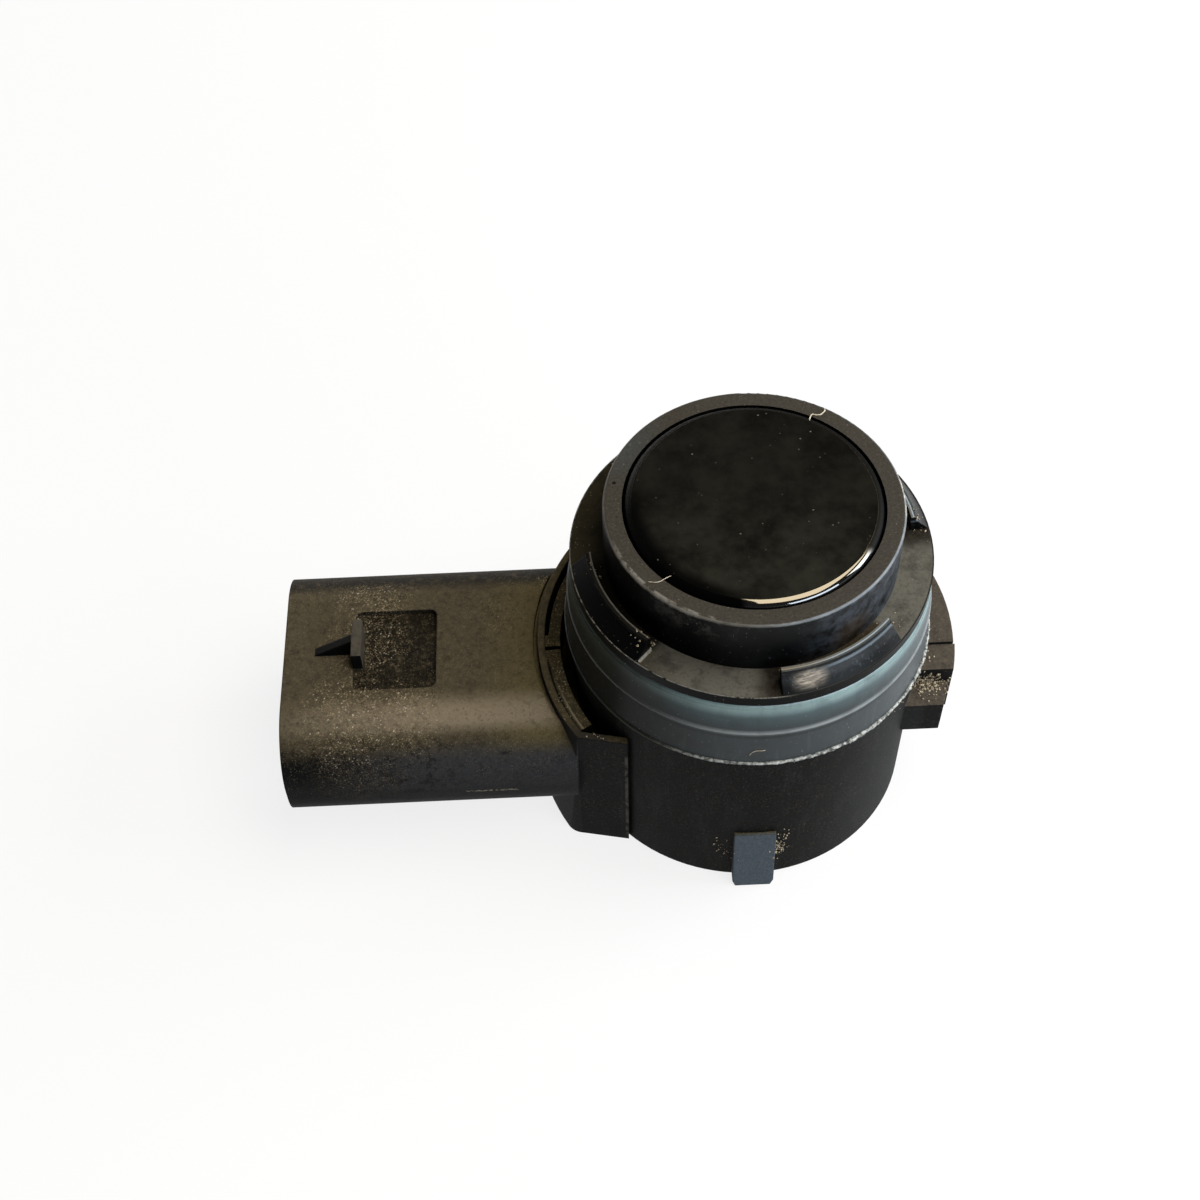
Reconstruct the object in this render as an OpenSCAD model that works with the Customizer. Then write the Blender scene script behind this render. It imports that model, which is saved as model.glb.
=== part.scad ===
// Parking sensor: an ultrasonic transducer in a round body with a side connector arm.
// Millimetres. The rear face lies on z = 0, the sensing axis is +Z and the arm points along -X.

/* [Body] */
// Outside diameter of the round body
body_d = 22.4; // [21.6:0.1:25]
// Height of the round body, from the rear face to the seat of the seal
body_h = 14.4; // [13.8:0.1:18]
// Wall of the round body
body_wall = 1.6; // [1.3:0.1:2]
// Wall of the thinner spigot that carries the seal
spigot_wall = 0.9; // [0.7:0.05:1.1]
// Depth of the ribs inside the body that stop the board and the carrier
rib_depth = 1; // [0.7:0.1:1.2]
// Width of those ribs
rib_width = 1.2; // [0.8:0.1:1.6]
// Number of those ribs
rib_count = 4; // [3:1:6]

/* [Seal] */
// Height of the grey seal band
seal_h = 5.65; // [5:0.05:8]
// How far the foot of the seal stands out past the body
seal_lip = 0.3; // [0.1:0.05:0.6]
// Height of the parting ridge above the foot of the seal
seal_ridge_h = 2.95; // [2:0.05:4]
// How far the parting ridge stands out of the seal
seal_ridge = 0.08; // [0.05:0.01:0.2]
// How far the flash at the foot of the seal stands out
seal_flash = 0.12; // [0.05:0.01:0.25]
// Round on the top edge of the seal
seal_round = 0.45; // [0.2:0.05:0.6]

/* [Front collar] */
// Distance from the body's side in to the edge of the flat ledge
ledge_inset = 0.1; // [0:0.05:0.2]
// Thickness of the ledge
ledge_t = 0.75; // [0.6:0.05:1.2]
// Depth of the skirt that centres the collar in the spigot
skirt_h = 0.8; // [0.5:0.05:1.2]
// Number of raised lugs on the ledge
lug_count = 4; // [3:1:5]
// Angle that each lug spans, in degrees
lug_span = 43.5; // [30:0.5:50]
// Angle at which the first lug starts, in degrees
lug_turn = 4.5; // [0:0.5:90]
// Height of the lugs above the ledge
lug_h = 1.2; // [0.8:0.05:1.8]
// Width of the rib along the top of a lug
lug_rib_w = 0.32; // [0.25:0.01:0.5]
// Distance from the edge of the ledge to the outside of that rib
lug_rib_inset = 0.95; // [0.7:0.05:1.1]
// Distance from the edge of the ledge to the foot of a lug
lug_foot_inset = 0.08; // [0.05:0.01:0.3]
// Drop from the top of the rib to the sloping face of a lug
lug_step = 0.28; // [0.15:0.01:0.4]

/* [Neck and pot] */
// Height of the neck, which passes through the bumper, above the ledge
neck_h = 4.2; // [3.5:0.1:6]
// How far the neck laps over the edge of the collar's hole
neck_lap = 0.15; // [0.1:0.01:0.3]
// Width of the ring's front face
ring_face_w = 1.15; // [0.9:0.05:1.4]
// Round on the outer edge of the ring's front face
ring_edge_r = 0.2; // [0.1:0.05:0.4]
// Depth that the ring reaches below the collar
ring_root = 3.65; // [3.4:0.05:4.5]
// How far the ring's root stands out past the neck
ring_root_w = 0.5; // [0.3:0.05:0.7]
// Thickness of the ring's lip under the pot
ring_lip_t = 1.2; // [0.8:0.05:1.4]
// Open gap between the ring's front edge and the pot
rim_gap = 0.13; // [0.1:0.01:0.3]
// Depth of that open gap
rim_gap_depth = 1.4; // [0.8:0.1:2]
// How far the pot's face stands above the ring's face
pot_rise = 0.2; // [-0.2:0.05:0.4]
// Side wall of the pot
pot_wall = 1.2; // [0.8:0.1:1.6]
// Thickness of the membrane
membrane_t = 0.8; // [0.5:0.05:1.2]
// Round on the edge of the membrane
pot_edge_r = 0.5; // [0.3:0.05:0.7]
// Width of the pot's foot flange
pot_flange_w = 0.6; // [0.4:0.05:0.7]
// Thickness of the pot's foot flange
pot_flange_t = 1; // [0.6:0.05:1.2]
// Diameter of the piezo disc
piezo_d = 8; // [6:0.1:9]
// Thickness of the piezo disc
piezo_t = 0.35; // [0.2:0.05:0.6]
// Gap between the foam and the piezo disc
foam_gap = 0.1; // [0.05:0.05:0.4]
// Thickness of the contact carrier
carrier_t = 1; // [0.7:0.1:1.4]
// Diameter of the contact pins
pin_d = 0.8; // [0.6:0.05:1]
// Height of the contact pins above the carrier
pin_rise = 0.8; // [0.4:0.1:1.5]
// Diameter of the wires from the pins to the transducer
lead_d = 0.4; // [0.3:0.05:0.6]
// Distance from the axis to the signal pin
signal_pin_x = 2.5; // [1.8:0.1:3]
// Distance from the inside of the pot to the ground pin
ground_pin_inset = 1.25; // [0.9:0.05:1.6]

/* [Rear] */
// Thickness of the rear cover
cover_t = 1.2; // [0.8:0.1:1.6]
// Width of the body's rim round the rear cover
cover_land = 0.9; // [0.6:0.05:1.1]
// Chamfer on the outer edge of the rear cover
cover_chamfer = 0.3; // [0.1:0.05:0.5]
// Thickness of the potting between the rear cover and the board
potting_t = 2.3; // [1.5:0.1:2.6]

/* [Circuit] */
// Thickness of the circuit board
board_t = 1; // [0.6:0.1:1.2]
// Length of the pin and terminal tails past the board
tail_len = 0.6; // [0.3:0.1:1]
// Side of the square driver chip
chip_side = 5; // [4:0.1:5.2]
// Height of the driver chip
chip_h = 1.2; // [0.8:0.1:1.6]
// Diameter of the transformer's base and core flanges
coil_d = 5.8; // [5:0.1:6]
// Thickness of the transformer's base
coil_base_t = 0.9; // [0.6:0.1:1.2]
// Height of the transformer's drum core
coil_h = 5; // [4:0.1:6]
// Thickness of each flange of the drum core
coil_flange_t = 0.8; // [0.5:0.05:1]
// Diameter of the core's waist
coil_waist_d = 2.6; // [2:0.1:3]
// Diameter of the winding
coil_winding_d = 5.2; // [4.2:0.1:5.4]
// Length of the storage capacitor
tank_l = 3.5; // [3:0.1:3.8]
// Width of the storage capacitor
tank_w = 2.8; // [2:0.1:3]
// Height of the storage capacitor
tank_h = 1.9; // [1.4:0.1:2.4]
// Length of the protection diode
diode_l = 2.6; // [2:0.1:3]
// Width of the protection diode
diode_w = 1.6; // [1.2:0.1:1.8]
// Height of the protection diode
diode_h = 1.1; // [0.8:0.1:1.4]
// Number of ceramic capacitors and of resistors
chip_count = 4; // [2:1:4]
// Length of those small chips
small_l = 1.6; // [1.2:0.1:1.8]
// Width of those small chips
small_w = 0.8; // [0.6:0.05:0.9]
// Height of the ceramic capacitors
ceramic_h = 0.8; // [0.6:0.05:1]
// Height of the resistors
resistor_h = 0.45; // [0.3:0.05:0.6]
// Distance between the small chips in their rows
small_pitch = 1.4; // [1.2:0.05:1.45]

/* [Connector arm] */
// Distance from the sensing axis to the mouth of the arm
arm_reach = 29.95; // [28:0.05:36]
// Width of the arm
arm_w = 16.1; // [14:0.1:17]
// Height of the arm
arm_h = 8.7; // [8:0.1:9.5]
// Drop from the flange's top to the arm's top
arm_drop = 0.3; // [0:0.05:0.4]
// Corner radius of the arm
arm_corner = 3.85; // [3:0.05:3.9]
// Wall of the socket in the arm
arm_wall = 1.4; // [1.1:0.1:1.6]
// Depth of the socket
socket_depth = 13; // [10:0.1:14]
// Distance from the mouth back to the tips of the terminals
terminal_setback = 5.4; // [4.6:0.1:7]
// Distance between terminals
terminal_pitch = 3.4; // [2.5:0.1:3.8]
// Width of a terminal blade
terminal_w = 1.2; // [0.8:0.05:1.6]
// Thickness of a terminal blade
terminal_t = 0.6; // [0.4:0.05:0.8]
// Distance from the body's bore in to the terminals' tails
tail_inset = 2.2; // [1.8:0.1:2.6]
// Taper on the tip of a terminal
terminal_tip = 0.8; // [0.4:0.1:1.2]

/* [Latch] */
// Distance from the mouth to the latch bar
latch_back = 4.55; // [3.6:0.05:6]
// Thickness of the latch bar
latch_t = 0.65; // [0.5:0.05:1]
// Width of the latch bar
latch_w = 2.85; // [2:0.05:4]
// Height of the latch bar above the arm
latch_h = 1.45; // [1:0.05:2]
// Length of the ramp that leads up to the latch bar
ramp_l = 2.6; // [1.5:0.1:3.4]
// Width of that ramp
ramp_w = 0.6; // [0.4:0.05:1]
// Length of the recess behind the latch bar
recess_l = 5.35; // [3:0.05:6]
// Width of the recess
recess_w = 6.2; // [4:0.1:7]
// Depth of the recess
recess_depth = 0.4; // [0.2:0.05:0.6]
// Corner radius of the recess
recess_corner = 0.5; // [0.2:0.05:1]

/* [Flange and root block] */
// How far the flange stands out of the body
flange_w = 2.25; // [1.9:0.05:2.8]
// Height of the flange's top above the rear face
flange_top = 12; // [11.8:0.05:12.6]
// Thickness of the flange
flange_t = 3; // [2:0.1:4]
// Angle of solid block between the trough and the end of the flange, in degrees
flange_lap = 5; // [2:0.5:8]
// How far the root block flares out at the rear face
block_flare = 0.45; // [0:0.05:0.8]
// Distance from the axis to the slanted side faces of the root block
block_side = 9.65; // [9:0.05:10.5]
// Slant of those side faces, in degrees
block_slant = 11.5; // [5:0.5:15]
// Distance from the axis to the near end of the root block
block_near = 8; // [7.5:0.1:8.6]
// Round on the upright corners of the root block
block_round = 1.2; // [0.5:0.1:2]
// Width of the upright rim on the root block
rim_w = 0.45; // [0.35:0.05:0.7]
// Drop from the rim to the ledge inside it
rim_drop = 0.45; // [0.2:0.05:0.8]
// Width of that inner ledge
inner_ledge_w = 1; // [0.6:0.05:1.1]
// Depth of the trough between the inner ledge and the body
trough_depth = 3.5; // [2:0.1:5]
// Width of the curved slot and of the slit in the inner ledge
slot_w = 0.25; // [0.15:0.05:0.4]
// Depth of that slot and slit
slot_depth = 2; // [1:0.1:3]
// Angle from the curved slot's end to -X, in degrees
slot_end = 3; // [1:0.5:10]
// Angle from -X to the slit, in degrees
slit_turn = 1; // [-5:0.5:10]
// Angle from -X to the near end of the inner ledge, where the corner pocket starts, in degrees
rim_front = 32; // [26:0.5:34]
// Depth of the pocket in the near corner of the root block
pocket_depth = 2.8; // [1.5:0.1:3.2]
// How far the wall of that pocket stands in from the rim's
pocket_inset = 0.06; // [0.04:0.01:0.2]
// Angle from -X to the far end of the trough, in degrees
rim_back = 31; // [25:0.5:33]
// Width of the shadow groove between the arm and the rim
shadow_w = 0.3; // [0.15:0.05:0.5]
// Depth of that groove below the arm's top
shadow_depth = 0.4; // [0.2:0.05:0.6]

/* [Clip lug and snap tabs] */
// Place where the flange ends and the clip lug starts, in front of the axis
clip_start = 1.55; // [0.5:0.05:2]
// Length of the upper tread of the clip lug
clip_upper_l = 1.95; // [1.5:0.05:3]
// Length of the lower tread of the clip lug
clip_lower_l = 1.8; // [1:0.05:2.5]
// How far the upper tread stands out past the flange
clip_bump = 0.12; // [0:0.01:0.4]
// Drop from the flange to the upper tread
clip_step = 0.25; // [0.2:0.05:0.8]
// Drop from the upper tread to the lower tread
clip_riser = 1.4; // [0.8:0.05:2]
// Height of the clip lug, from its underside to the flange's top
clip_h = 4.4; // [3.6:0.1:5.4]
// Width of a snap tab
tab_w = 2.7; // [2:0.1:3.5]
// Height of a snap tab
tab_h = 5.4; // [4:0.1:6]
// How far a snap tab stands out at its foot
tab_out = 0.9; // [0.5:0.05:1.5]
// How far a snap tab stands out at its top
tab_top_out = 0.2; // [0.1:0.05:0.4]
// Chamfer on the lower corners of a snap tab, across
tab_chamfer_w = 0.2; // [0.1:0.05:0.6]
// Chamfer on the lower corners of a snap tab, upwards
tab_chamfer_h = 0.5; // [0.3:0.1:2]

/* [Clearances] */
// Gap between pieces that are fitted together
fit_gap = 0.05; // [0.03:0.01:0.08]
// Gap between the root of the soft ring and the body's bore
ring_gap = 0.1; // [0.05:0.01:0.2]
// Gap round the terminals in the moulded wall
mould_gap = 0.03; // [0.02:0.01:0.05]

/* [Hidden] */
$fn = 96;

// Overlap used where one solid of a piece runs into another or a cut passes a face
run = 0.5;
// Overlap of the inner ledge with the corner pocket, in degrees
pocket_lap = 3;

// Radii and heights of the body
body_r = body_d / 2;
bore_r = body_r - body_wall;
spigot_r = bore_r + spigot_wall;
collar_z = body_h + seal_h;
ledge_z = collar_z + ledge_t;
top_z = ledge_z + neck_h;
ledge_r = body_r - ledge_inset;
ring_root_r = bore_r - ring_gap;
neck_r = ring_root_r - ring_root_w;
collar_hole_r = neck_r - neck_lap;

// Decoupling ring, pot and what stands behind them
ring_in_r = neck_r - ring_face_w;
pot_r = ring_in_r - rim_gap;
pot_in_r = pot_r - pot_wall;
pot_flange_r = pot_r + pot_flange_w;
pot_top = top_z + pot_rise;
carrier_top = collar_z - ring_root;
carrier_z = carrier_top - carrier_t;
pot_foot = carrier_top + ring_lip_t + fit_gap;
membrane_z = pot_top - membrane_t;
piezo_z = membrane_z - piezo_t;
pin_top = carrier_top + pin_rise;
ground_pin_x = ground_pin_inset - pot_in_r;
lead_hole_d = pin_d + 2 * fit_gap;

// Board and potting
cover_r = body_r - cover_land;
board_z = cover_t + potting_t;
board_top = board_z + board_t;
tail_z = board_z - tail_len;
terminal_tail_x = bore_r - tail_inset;

// Connector arm
arm_top = flange_top - arm_drop;
arm_mid_z = arm_top - arm_h / 2;
socket_w = arm_w - 2 * arm_wall;
socket_h = arm_h - 2 * arm_wall;
socket_corner = arm_corner - arm_wall;
latch_x = arm_reach - latch_back;

// Flange and root block
flange_r = body_r + flange_w;
clip_foot = flange_top - clip_h;
rim_in_r = flange_r - rim_w;
trough_r = rim_in_r - inner_ledge_w;
mid_wall_r = body_r - body_wall / 2;

// Places of the components on the board
coil_place = [1.5, -5];
chip_place = [1.6, 4.8];
tank_place = [-3, 4.7];
diode_place = [-3.4, -5.6];
ceramic_row = [-5.4, -1.9];
resistor_row = [-2.9, 1.1];

// Colours
plastic = [0.12, 0.12, 0.12];
silicone_grey = [0.42, 0.47, 0.49];
silicone_black = [0.2, 0.19, 0.18];
gloss_black = [0.03, 0.03, 0.035];
brass = [0.72, 0.6, 0.35];
tin = [0.75, 0.75, 0.73];

// Rectangle with round corners, centred on the origin
module round_rect(w, h, r) {
    square([w - 2 * r, h], center = true);
    square([w, h - 2 * r], center = true);
    for (sx = [-1, 1], sy = [-1, 1])
        translate([sx * (w / 2 - r), sy * (h / 2 - r)]) circle(r);
}

// Flat ring that stands on z0
module tube(r_out, r_in, z0, h) {
    translate([0, 0, z0]) difference() {
        cylinder(h = h, r = r_out);
        translate([0, 0, -run]) cylinder(h = h + 2 * run, r = r_in);
    }
}

// Part of a ring between two radii, from angle a0 over a span
module ring_sector(r_in, r_out, z0, h, a0, span) {
    rotate(a0) rotate_extrude(angle = span) translate([r_in, z0]) square([r_out - r_in, h]);
}

// What a round of radius r takes off the upper outer corner at (x, y) of a profile
module corner_cut(x, y, r) {
    translate([x - r, y - r]) difference() {
        square(r + run);
        circle(r);
    }
}

// Box that stands on the board, centred on a place
module on_board(place, size) {
    translate([place[0] - size[0] / 2, place[1] - size[1] / 2, board_top]) cube(size);
}

// Row of small chips along X
module chip_row(place, h) {
    for (i = [0 : chip_count - 1])
        on_board([place[0] + i * small_pitch, place[1]], [small_w, small_l, h]);
}

// Bent blade: along the arm, then down through the board. Grown by gap on every side.
module terminal_blade(row, gap) {
    tip_x = arm_reach - terminal_setback;
    half = terminal_t / 2;
    translate([0, row * terminal_pitch + terminal_w / 2 + gap, arm_mid_z]) rotate([90, 0, 0])
        linear_extrude(terminal_w + 2 * gap) polygon([
            [-tip_x - gap, -half / 2 - gap],
            [-tip_x + terminal_tip, -half - gap],
            [-terminal_tail_x - half - gap, -half - gap],
            [-terminal_tail_x - half - gap, tail_z - arm_mid_z - gap],
            [-terminal_tail_x + half + gap, tail_z - arm_mid_z - gap],
            [-terminal_tail_x + half + gap, half + gap],
            [-tip_x + terminal_tip, half + gap],
            [-tip_x - gap, half / 2 + gap]
        ]);
}

// Contact pin from the tails below the board up to the leads
module contact_pin(x, gap) {
    translate([x, 0, tail_z - gap]) cylinder(h = pin_top - tail_z + gap, d = pin_d + 2 * gap);
}

// What a round takes off the corner between a disc of radius r and the slanted side of the root block
module block_corner(r) {
    middle = [-sqrt(pow(r - block_round, 2) - pow(block_side - block_round, 2)), block_round - block_side];
    outward = middle / norm(middle);
    difference() {
        polygon([
            middle,
            middle + outward * (block_round + run),
            [middle[0] + outward[0] * (block_round + run), -block_side - run],
            [middle[0], -block_side - run]
        ]);
        translate(middle) circle(block_round);
    }
}

// Plan of the root block: a disc cut by two slanted sides and a near end, with round corners
module block_plan(r) {
    difference() {
        intersection() {
            circle(r);
            translate([-r - run, -r]) square([r + run - block_near, 2 * r]);
            intersection_for (side = [0, 1])
                mirror([0, side]) rotate(-block_slant) translate([-2 * r, -block_side]) square(4 * r);
        }
        for (side = [0, 1]) mirror([0, side]) rotate(-block_slant) block_corner(r);
    }
}

// Root block that carries the arm
module root_block() {
    intersection() {
        linear_extrude(flange_top) block_plan(flange_r + block_flare);
        cylinder(h = flange_top, r1 = flange_r + block_flare, r2 = flange_r);
    }
}

// Plan of the corner pocket, from the near end of the inner ledge to straight in front of the axis
module pocket_plan() {
    start = 180 + rim_front;
    reach = 2 * flange_r;
    intersection() {
        circle(rim_in_r - pocket_inset);
        polygon([[0, 0], reach * [cos(start), sin(start)], [-reach, -reach], [0, -reach]]);
    }
}

// Cuts behind the rim of the root block: inner ledge, trough, corner pocket, curved slot and slit
module rim_cuts() {
    rim_start = 180 - rim_back;
    rim_span = rim_back + rim_front + pocket_lap;
    ledge_level = flange_top - rim_drop;
    slit_span = slot_w / trough_r * 180 / PI;
    intersection() {
        union() {
            ring_sector(mid_wall_r, rim_in_r, ledge_level, rim_drop + run, rim_start, rim_span);
            ring_sector(mid_wall_r, trough_r, flange_top - trough_depth, trough_depth, rim_start, rim_span);
            translate([0, 0, flange_top - pocket_depth]) linear_extrude(pocket_depth + 2 * run) pocket_plan();
        }
        rotate(-block_slant) translate([-2 * flange_r, rim_w - block_side, 0])
            cube([4 * flange_r, 4 * flange_r, flange_top + 3 * run]);
    }
    ring_sector(rim_in_r - slot_w, rim_in_r, ledge_level - slot_depth, slot_depth + run,
        rim_start, rim_back - slot_end);
    ring_sector(trough_r - run, rim_in_r, ledge_level - slot_depth, slot_depth + run,
        180 + slit_turn, slit_span);
}

// Flange round the back of the body, from the +X side to the root block
module flange() {
    ring_sector(mid_wall_r, flange_r, flange_top - flange_t, flange_t, 0, 180 - rim_back - flange_lap);
}

// One tread of the clip lug: a slice of a disc between two distances in front of the axis
module clip_tread(r, front, back, top) {
    translate([0, 0, clip_foot]) linear_extrude(top - clip_foot) intersection() {
        circle(r);
        translate([0, -front]) square([r, front - back]);
    }
}

// Stepped clip lug on the +X side: the end of the flange, an upper and a lower tread
module clip_lug() {
    upper_top = flange_top - clip_step;
    upper_front = clip_start + clip_upper_l;
    lower_front = upper_front + clip_lower_l;
    clip_tread(flange_r, clip_start, -run, flange_top);
    clip_tread(flange_r, upper_front, clip_start - run, upper_top);
    clip_tread(flange_r + clip_bump, upper_front, clip_start, upper_top);
    clip_tread(flange_r, lower_front, upper_front - run, upper_top - clip_riser);
}

// Wedge-shaped snap tab at the rear edge, in front of the axis
module snap_tab() {
    tab_y = body_r + tab_out;
    intersection() {
        translate([tab_w / 2, 0, 0]) rotate([90, 0, -90]) linear_extrude(tab_w) polygon([
            [body_r - run, 0],
            [tab_y, 0],
            [body_r + tab_top_out, tab_h],
            [body_r - run, tab_h]
        ]);
        rotate([90, 0, 0]) linear_extrude(tab_y) polygon([
            [-tab_w / 2 + tab_chamfer_w, 0],
            [tab_w / 2 - tab_chamfer_w, 0],
            [tab_w / 2, tab_chamfer_h],
            [tab_w / 2, tab_h],
            [-tab_w / 2, tab_h],
            [-tab_w / 2, tab_chamfer_h]
        ]);
    }
}

// Latch bar with the ramp that leads up to it
module latch() {
    translate([-latch_x, -latch_w / 2, arm_top - recess_depth - run])
        cube([latch_t, latch_w, latch_h + recess_depth + run]);
    translate([-latch_x, ramp_w / 2, arm_top]) rotate([90, 0, 0]) linear_extrude(ramp_w) polygon([
        [-ramp_l, 0],
        [-ramp_l, -run],
        [latch_t / 2, -run],
        [latch_t / 2, latch_h],
        [0, latch_h]
    ]);
}

// Solid arm from the root block to the mouth, with the recess behind the latch bar
module arm() {
    difference() {
        translate([-arm_reach, 0, arm_mid_z]) rotate([90, 0, 90])
            linear_extrude(arm_reach - body_r) round_rect(arm_w, arm_h, arm_corner);
        translate([-latch_x + recess_l / 2, 0, arm_top - recess_depth])
            linear_extrude(recess_depth + run) round_rect(recess_l, recess_w, recess_corner);
        ring_sector(body_r - run, flange_r + shadow_w, arm_top - shadow_depth, shadow_depth + run,
            180 - rim_back, rim_back + rim_front);
    }
    latch();
}

module housing() {
    color(plastic) {
        difference() {
            union() {
                cylinder(h = body_h, r = body_r);
                cylinder(h = collar_z, r = spigot_r);
                difference() {
                    union() {
                        root_block();
                        arm();
                    }
                    rim_cuts();
                }
                flange();
                clip_lug();
                for (side = [0, 1]) mirror([0, side, 0]) snap_tab();
            }
            translate([0, 0, -run]) cylinder(h = collar_z + 2 * run, r = bore_r);
            translate([0, 0, -run]) cylinder(h = cover_t + run, r = cover_r + fit_gap);
            translate([-arm_reach - run, 0, arm_mid_z]) rotate([90, 0, 90])
                linear_extrude(socket_depth + run) round_rect(socket_w, socket_h, socket_corner);
            for (row = [-1 : 1]) terminal_blade(row, mould_gap);
        }
        for (i = [0 : rib_count - 1])
            rotate((i + 0.5) * 360 / rib_count) intersection() {
                translate([bore_r - rib_depth, -rib_width / 2, board_top])
                    cube([rib_depth + run, rib_width, carrier_z - board_top]);
                cylinder(h = collar_z, r = bore_r + run);
            }
    }
}

module rear_cover() {
    color(plastic) rotate_extrude() polygon([
        [0, 0],
        [cover_r - cover_chamfer, 0],
        [cover_r, cover_chamfer],
        [cover_r, cover_t],
        [0, cover_t]
    ]);
}

// Lug profile: a thin rib with a step down to a face that slopes to the edge of the ledge
module lug_profile() {
    rib_out = ledge_r - lug_rib_inset;
    foot_r = ledge_r - lug_foot_inset;
    polygon([
        [rib_out - lug_rib_w, -ledge_t / 2],
        [rib_out - lug_rib_w, lug_h],
        [rib_out, lug_h],
        [rib_out, lug_h - lug_step],
        [foot_r, 0],
        [foot_r, -ledge_t / 2]
    ]);
}

module lug_collar() {
    color(plastic) {
        tube(ledge_r, collar_hole_r, collar_z, ledge_t);
        tube(bore_r - fit_gap, collar_hole_r, collar_z - skirt_h, skirt_h + ledge_t / 2);
        for (i = [0 : lug_count - 1])
            rotate(lug_turn + i * 360 / lug_count) rotate_extrude(angle = lug_span)
                translate([0, ledge_z]) lug_profile();
    }
}

module seal_ring() {
    foot_r = body_r + seal_lip;
    ridge_r = (ledge_r + foot_r) / 2;
    color(silicone_grey) translate([0, 0, body_h]) rotate_extrude() difference() {
        polygon([
            [spigot_r + fit_gap, 0],
            [foot_r + seal_flash, 0],
            [foot_r, seal_flash],
            [ridge_r, seal_ridge_h - seal_ridge],
            [ridge_r + seal_ridge, seal_ridge_h],
            [ridge_r, seal_ridge_h + seal_ridge],
            [ledge_r, seal_h],
            [spigot_r + fit_gap, seal_h]
        ]);
        corner_cut(ledge_r, seal_h, seal_round);
    }
}

module decoupling_ring() {
    root_top = collar_z - skirt_h - fit_gap;
    grip_r = pot_r + fit_gap;
    groove_top = pot_foot + pot_flange_t + fit_gap;
    lip_r = pot_in_r + fit_gap;
    color(silicone_black) rotate_extrude() difference() {
        polygon([
            [lip_r, carrier_top],
            [ring_root_r, carrier_top],
            [ring_root_r, root_top],
            [collar_hole_r - fit_gap, root_top],
            [collar_hole_r - fit_gap, ledge_z],
            [neck_r, ledge_z],
            [neck_r, top_z],
            [ring_in_r, top_z],
            [ring_in_r, top_z - rim_gap_depth],
            [grip_r, top_z - rim_gap_depth],
            [grip_r, groove_top],
            [pot_flange_r + fit_gap, groove_top],
            [pot_flange_r + fit_gap, pot_foot - fit_gap],
            [lip_r, pot_foot - fit_gap]
        ]);
        corner_cut(neck_r, top_z, ring_edge_r);
    }
}

module membrane_pot() {
    color(gloss_black) rotate_extrude() difference() {
        polygon([
            [0, membrane_z],
            [pot_in_r, membrane_z],
            [pot_in_r, pot_foot],
            [pot_flange_r, pot_foot],
            [pot_flange_r, pot_foot + pot_flange_t],
            [pot_r, pot_foot + pot_flange_t],
            [pot_r, pot_top],
            [0, pot_top]
        ]);
        corner_cut(pot_r, pot_top, pot_edge_r);
    }
}

module piezo_disc() {
    color(tin) translate([0, 0, piezo_z]) cylinder(h = piezo_t, d = piezo_d);
}

module damping_foam() {
    foam_h = piezo_z - foam_gap - carrier_top;
    color([0.3, 0.3, 0.32]) difference() {
        translate([0, 0, carrier_top]) cylinder(h = foam_h, r = pot_in_r - fit_gap);
        for (x = [signal_pin_x, ground_pin_x])
            translate([x, 0, carrier_top - run]) cylinder(h = foam_h + 2 * run, d = lead_hole_d);
    }
}

module contact_carrier() {
    color(plastic) difference() {
        translate([0, 0, carrier_z]) cylinder(h = carrier_t, r = bore_r - fit_gap);
        for (x = [signal_pin_x, ground_pin_x])
            translate([x, 0, carrier_z - run]) cylinder(h = carrier_t + 2 * run, d = lead_hole_d);
    }
}

module signal_pin() {
    color(brass) contact_pin(signal_pin_x, 0);
}

module ground_pin() {
    color(brass) contact_pin(ground_pin_x, 0);
}

module signal_lead() {
    color(tin) translate([signal_pin_x, 0, pin_top]) cylinder(h = piezo_z - pin_top, d = lead_d);
}

module ground_lead() {
    color(tin) translate([ground_pin_x, 0, pin_top]) cylinder(h = membrane_z - pin_top, d = lead_d);
}

module circuit_board() {
    color([0.1, 0.35, 0.2]) difference() {
        translate([0, 0, board_z]) cylinder(h = board_t, r = bore_r - fit_gap);
        for (x = [signal_pin_x, ground_pin_x]) contact_pin(x, fit_gap);
        for (row = [-1 : 1]) terminal_blade(row, fit_gap);
    }
}

module driver_chip() {
    color(gloss_black) on_board(chip_place, [chip_side, chip_side, chip_h]);
}

module transformer_base() {
    color([0.25, 0.25, 0.25]) translate([coil_place[0], coil_place[1], board_top])
        cylinder(h = coil_base_t, d = coil_d);
}

// Drum core: two flanges on a waist
module transformer_core() {
    color([0.3, 0.28, 0.27]) translate([coil_place[0], coil_place[1], board_top + coil_base_t]) {
        cylinder(h = coil_flange_t, d = coil_d);
        cylinder(h = coil_h, d = coil_waist_d);
        translate([0, 0, coil_h - coil_flange_t]) cylinder(h = coil_flange_t, d = coil_d);
    }
}

module transformer_winding() {
    winding_z = board_top + coil_base_t + coil_flange_t + fit_gap;
    winding_h = coil_h - 2 * (coil_flange_t + fit_gap);
    color([0.7, 0.35, 0.15]) translate([coil_place[0], coil_place[1], 0])
        tube(coil_winding_d / 2, coil_waist_d / 2 + fit_gap, winding_z, winding_h);
}

module storage_capacitor() {
    color([0.75, 0.6, 0.2]) on_board(tank_place, [tank_l, tank_w, tank_h]);
}

module protection_diode() {
    color(gloss_black) on_board(diode_place, [diode_l, diode_w, diode_h]);
}

module ceramic_capacitors() {
    color([0.65, 0.5, 0.35]) chip_row(ceramic_row, ceramic_h);
}

module resistors() {
    color(gloss_black) chip_row(resistor_row, resistor_h);
}

module supply_terminal() {
    color(tin) terminal_blade(-1, 0);
}

module signal_terminal() {
    color(tin) terminal_blade(0, 0);
}

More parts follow.
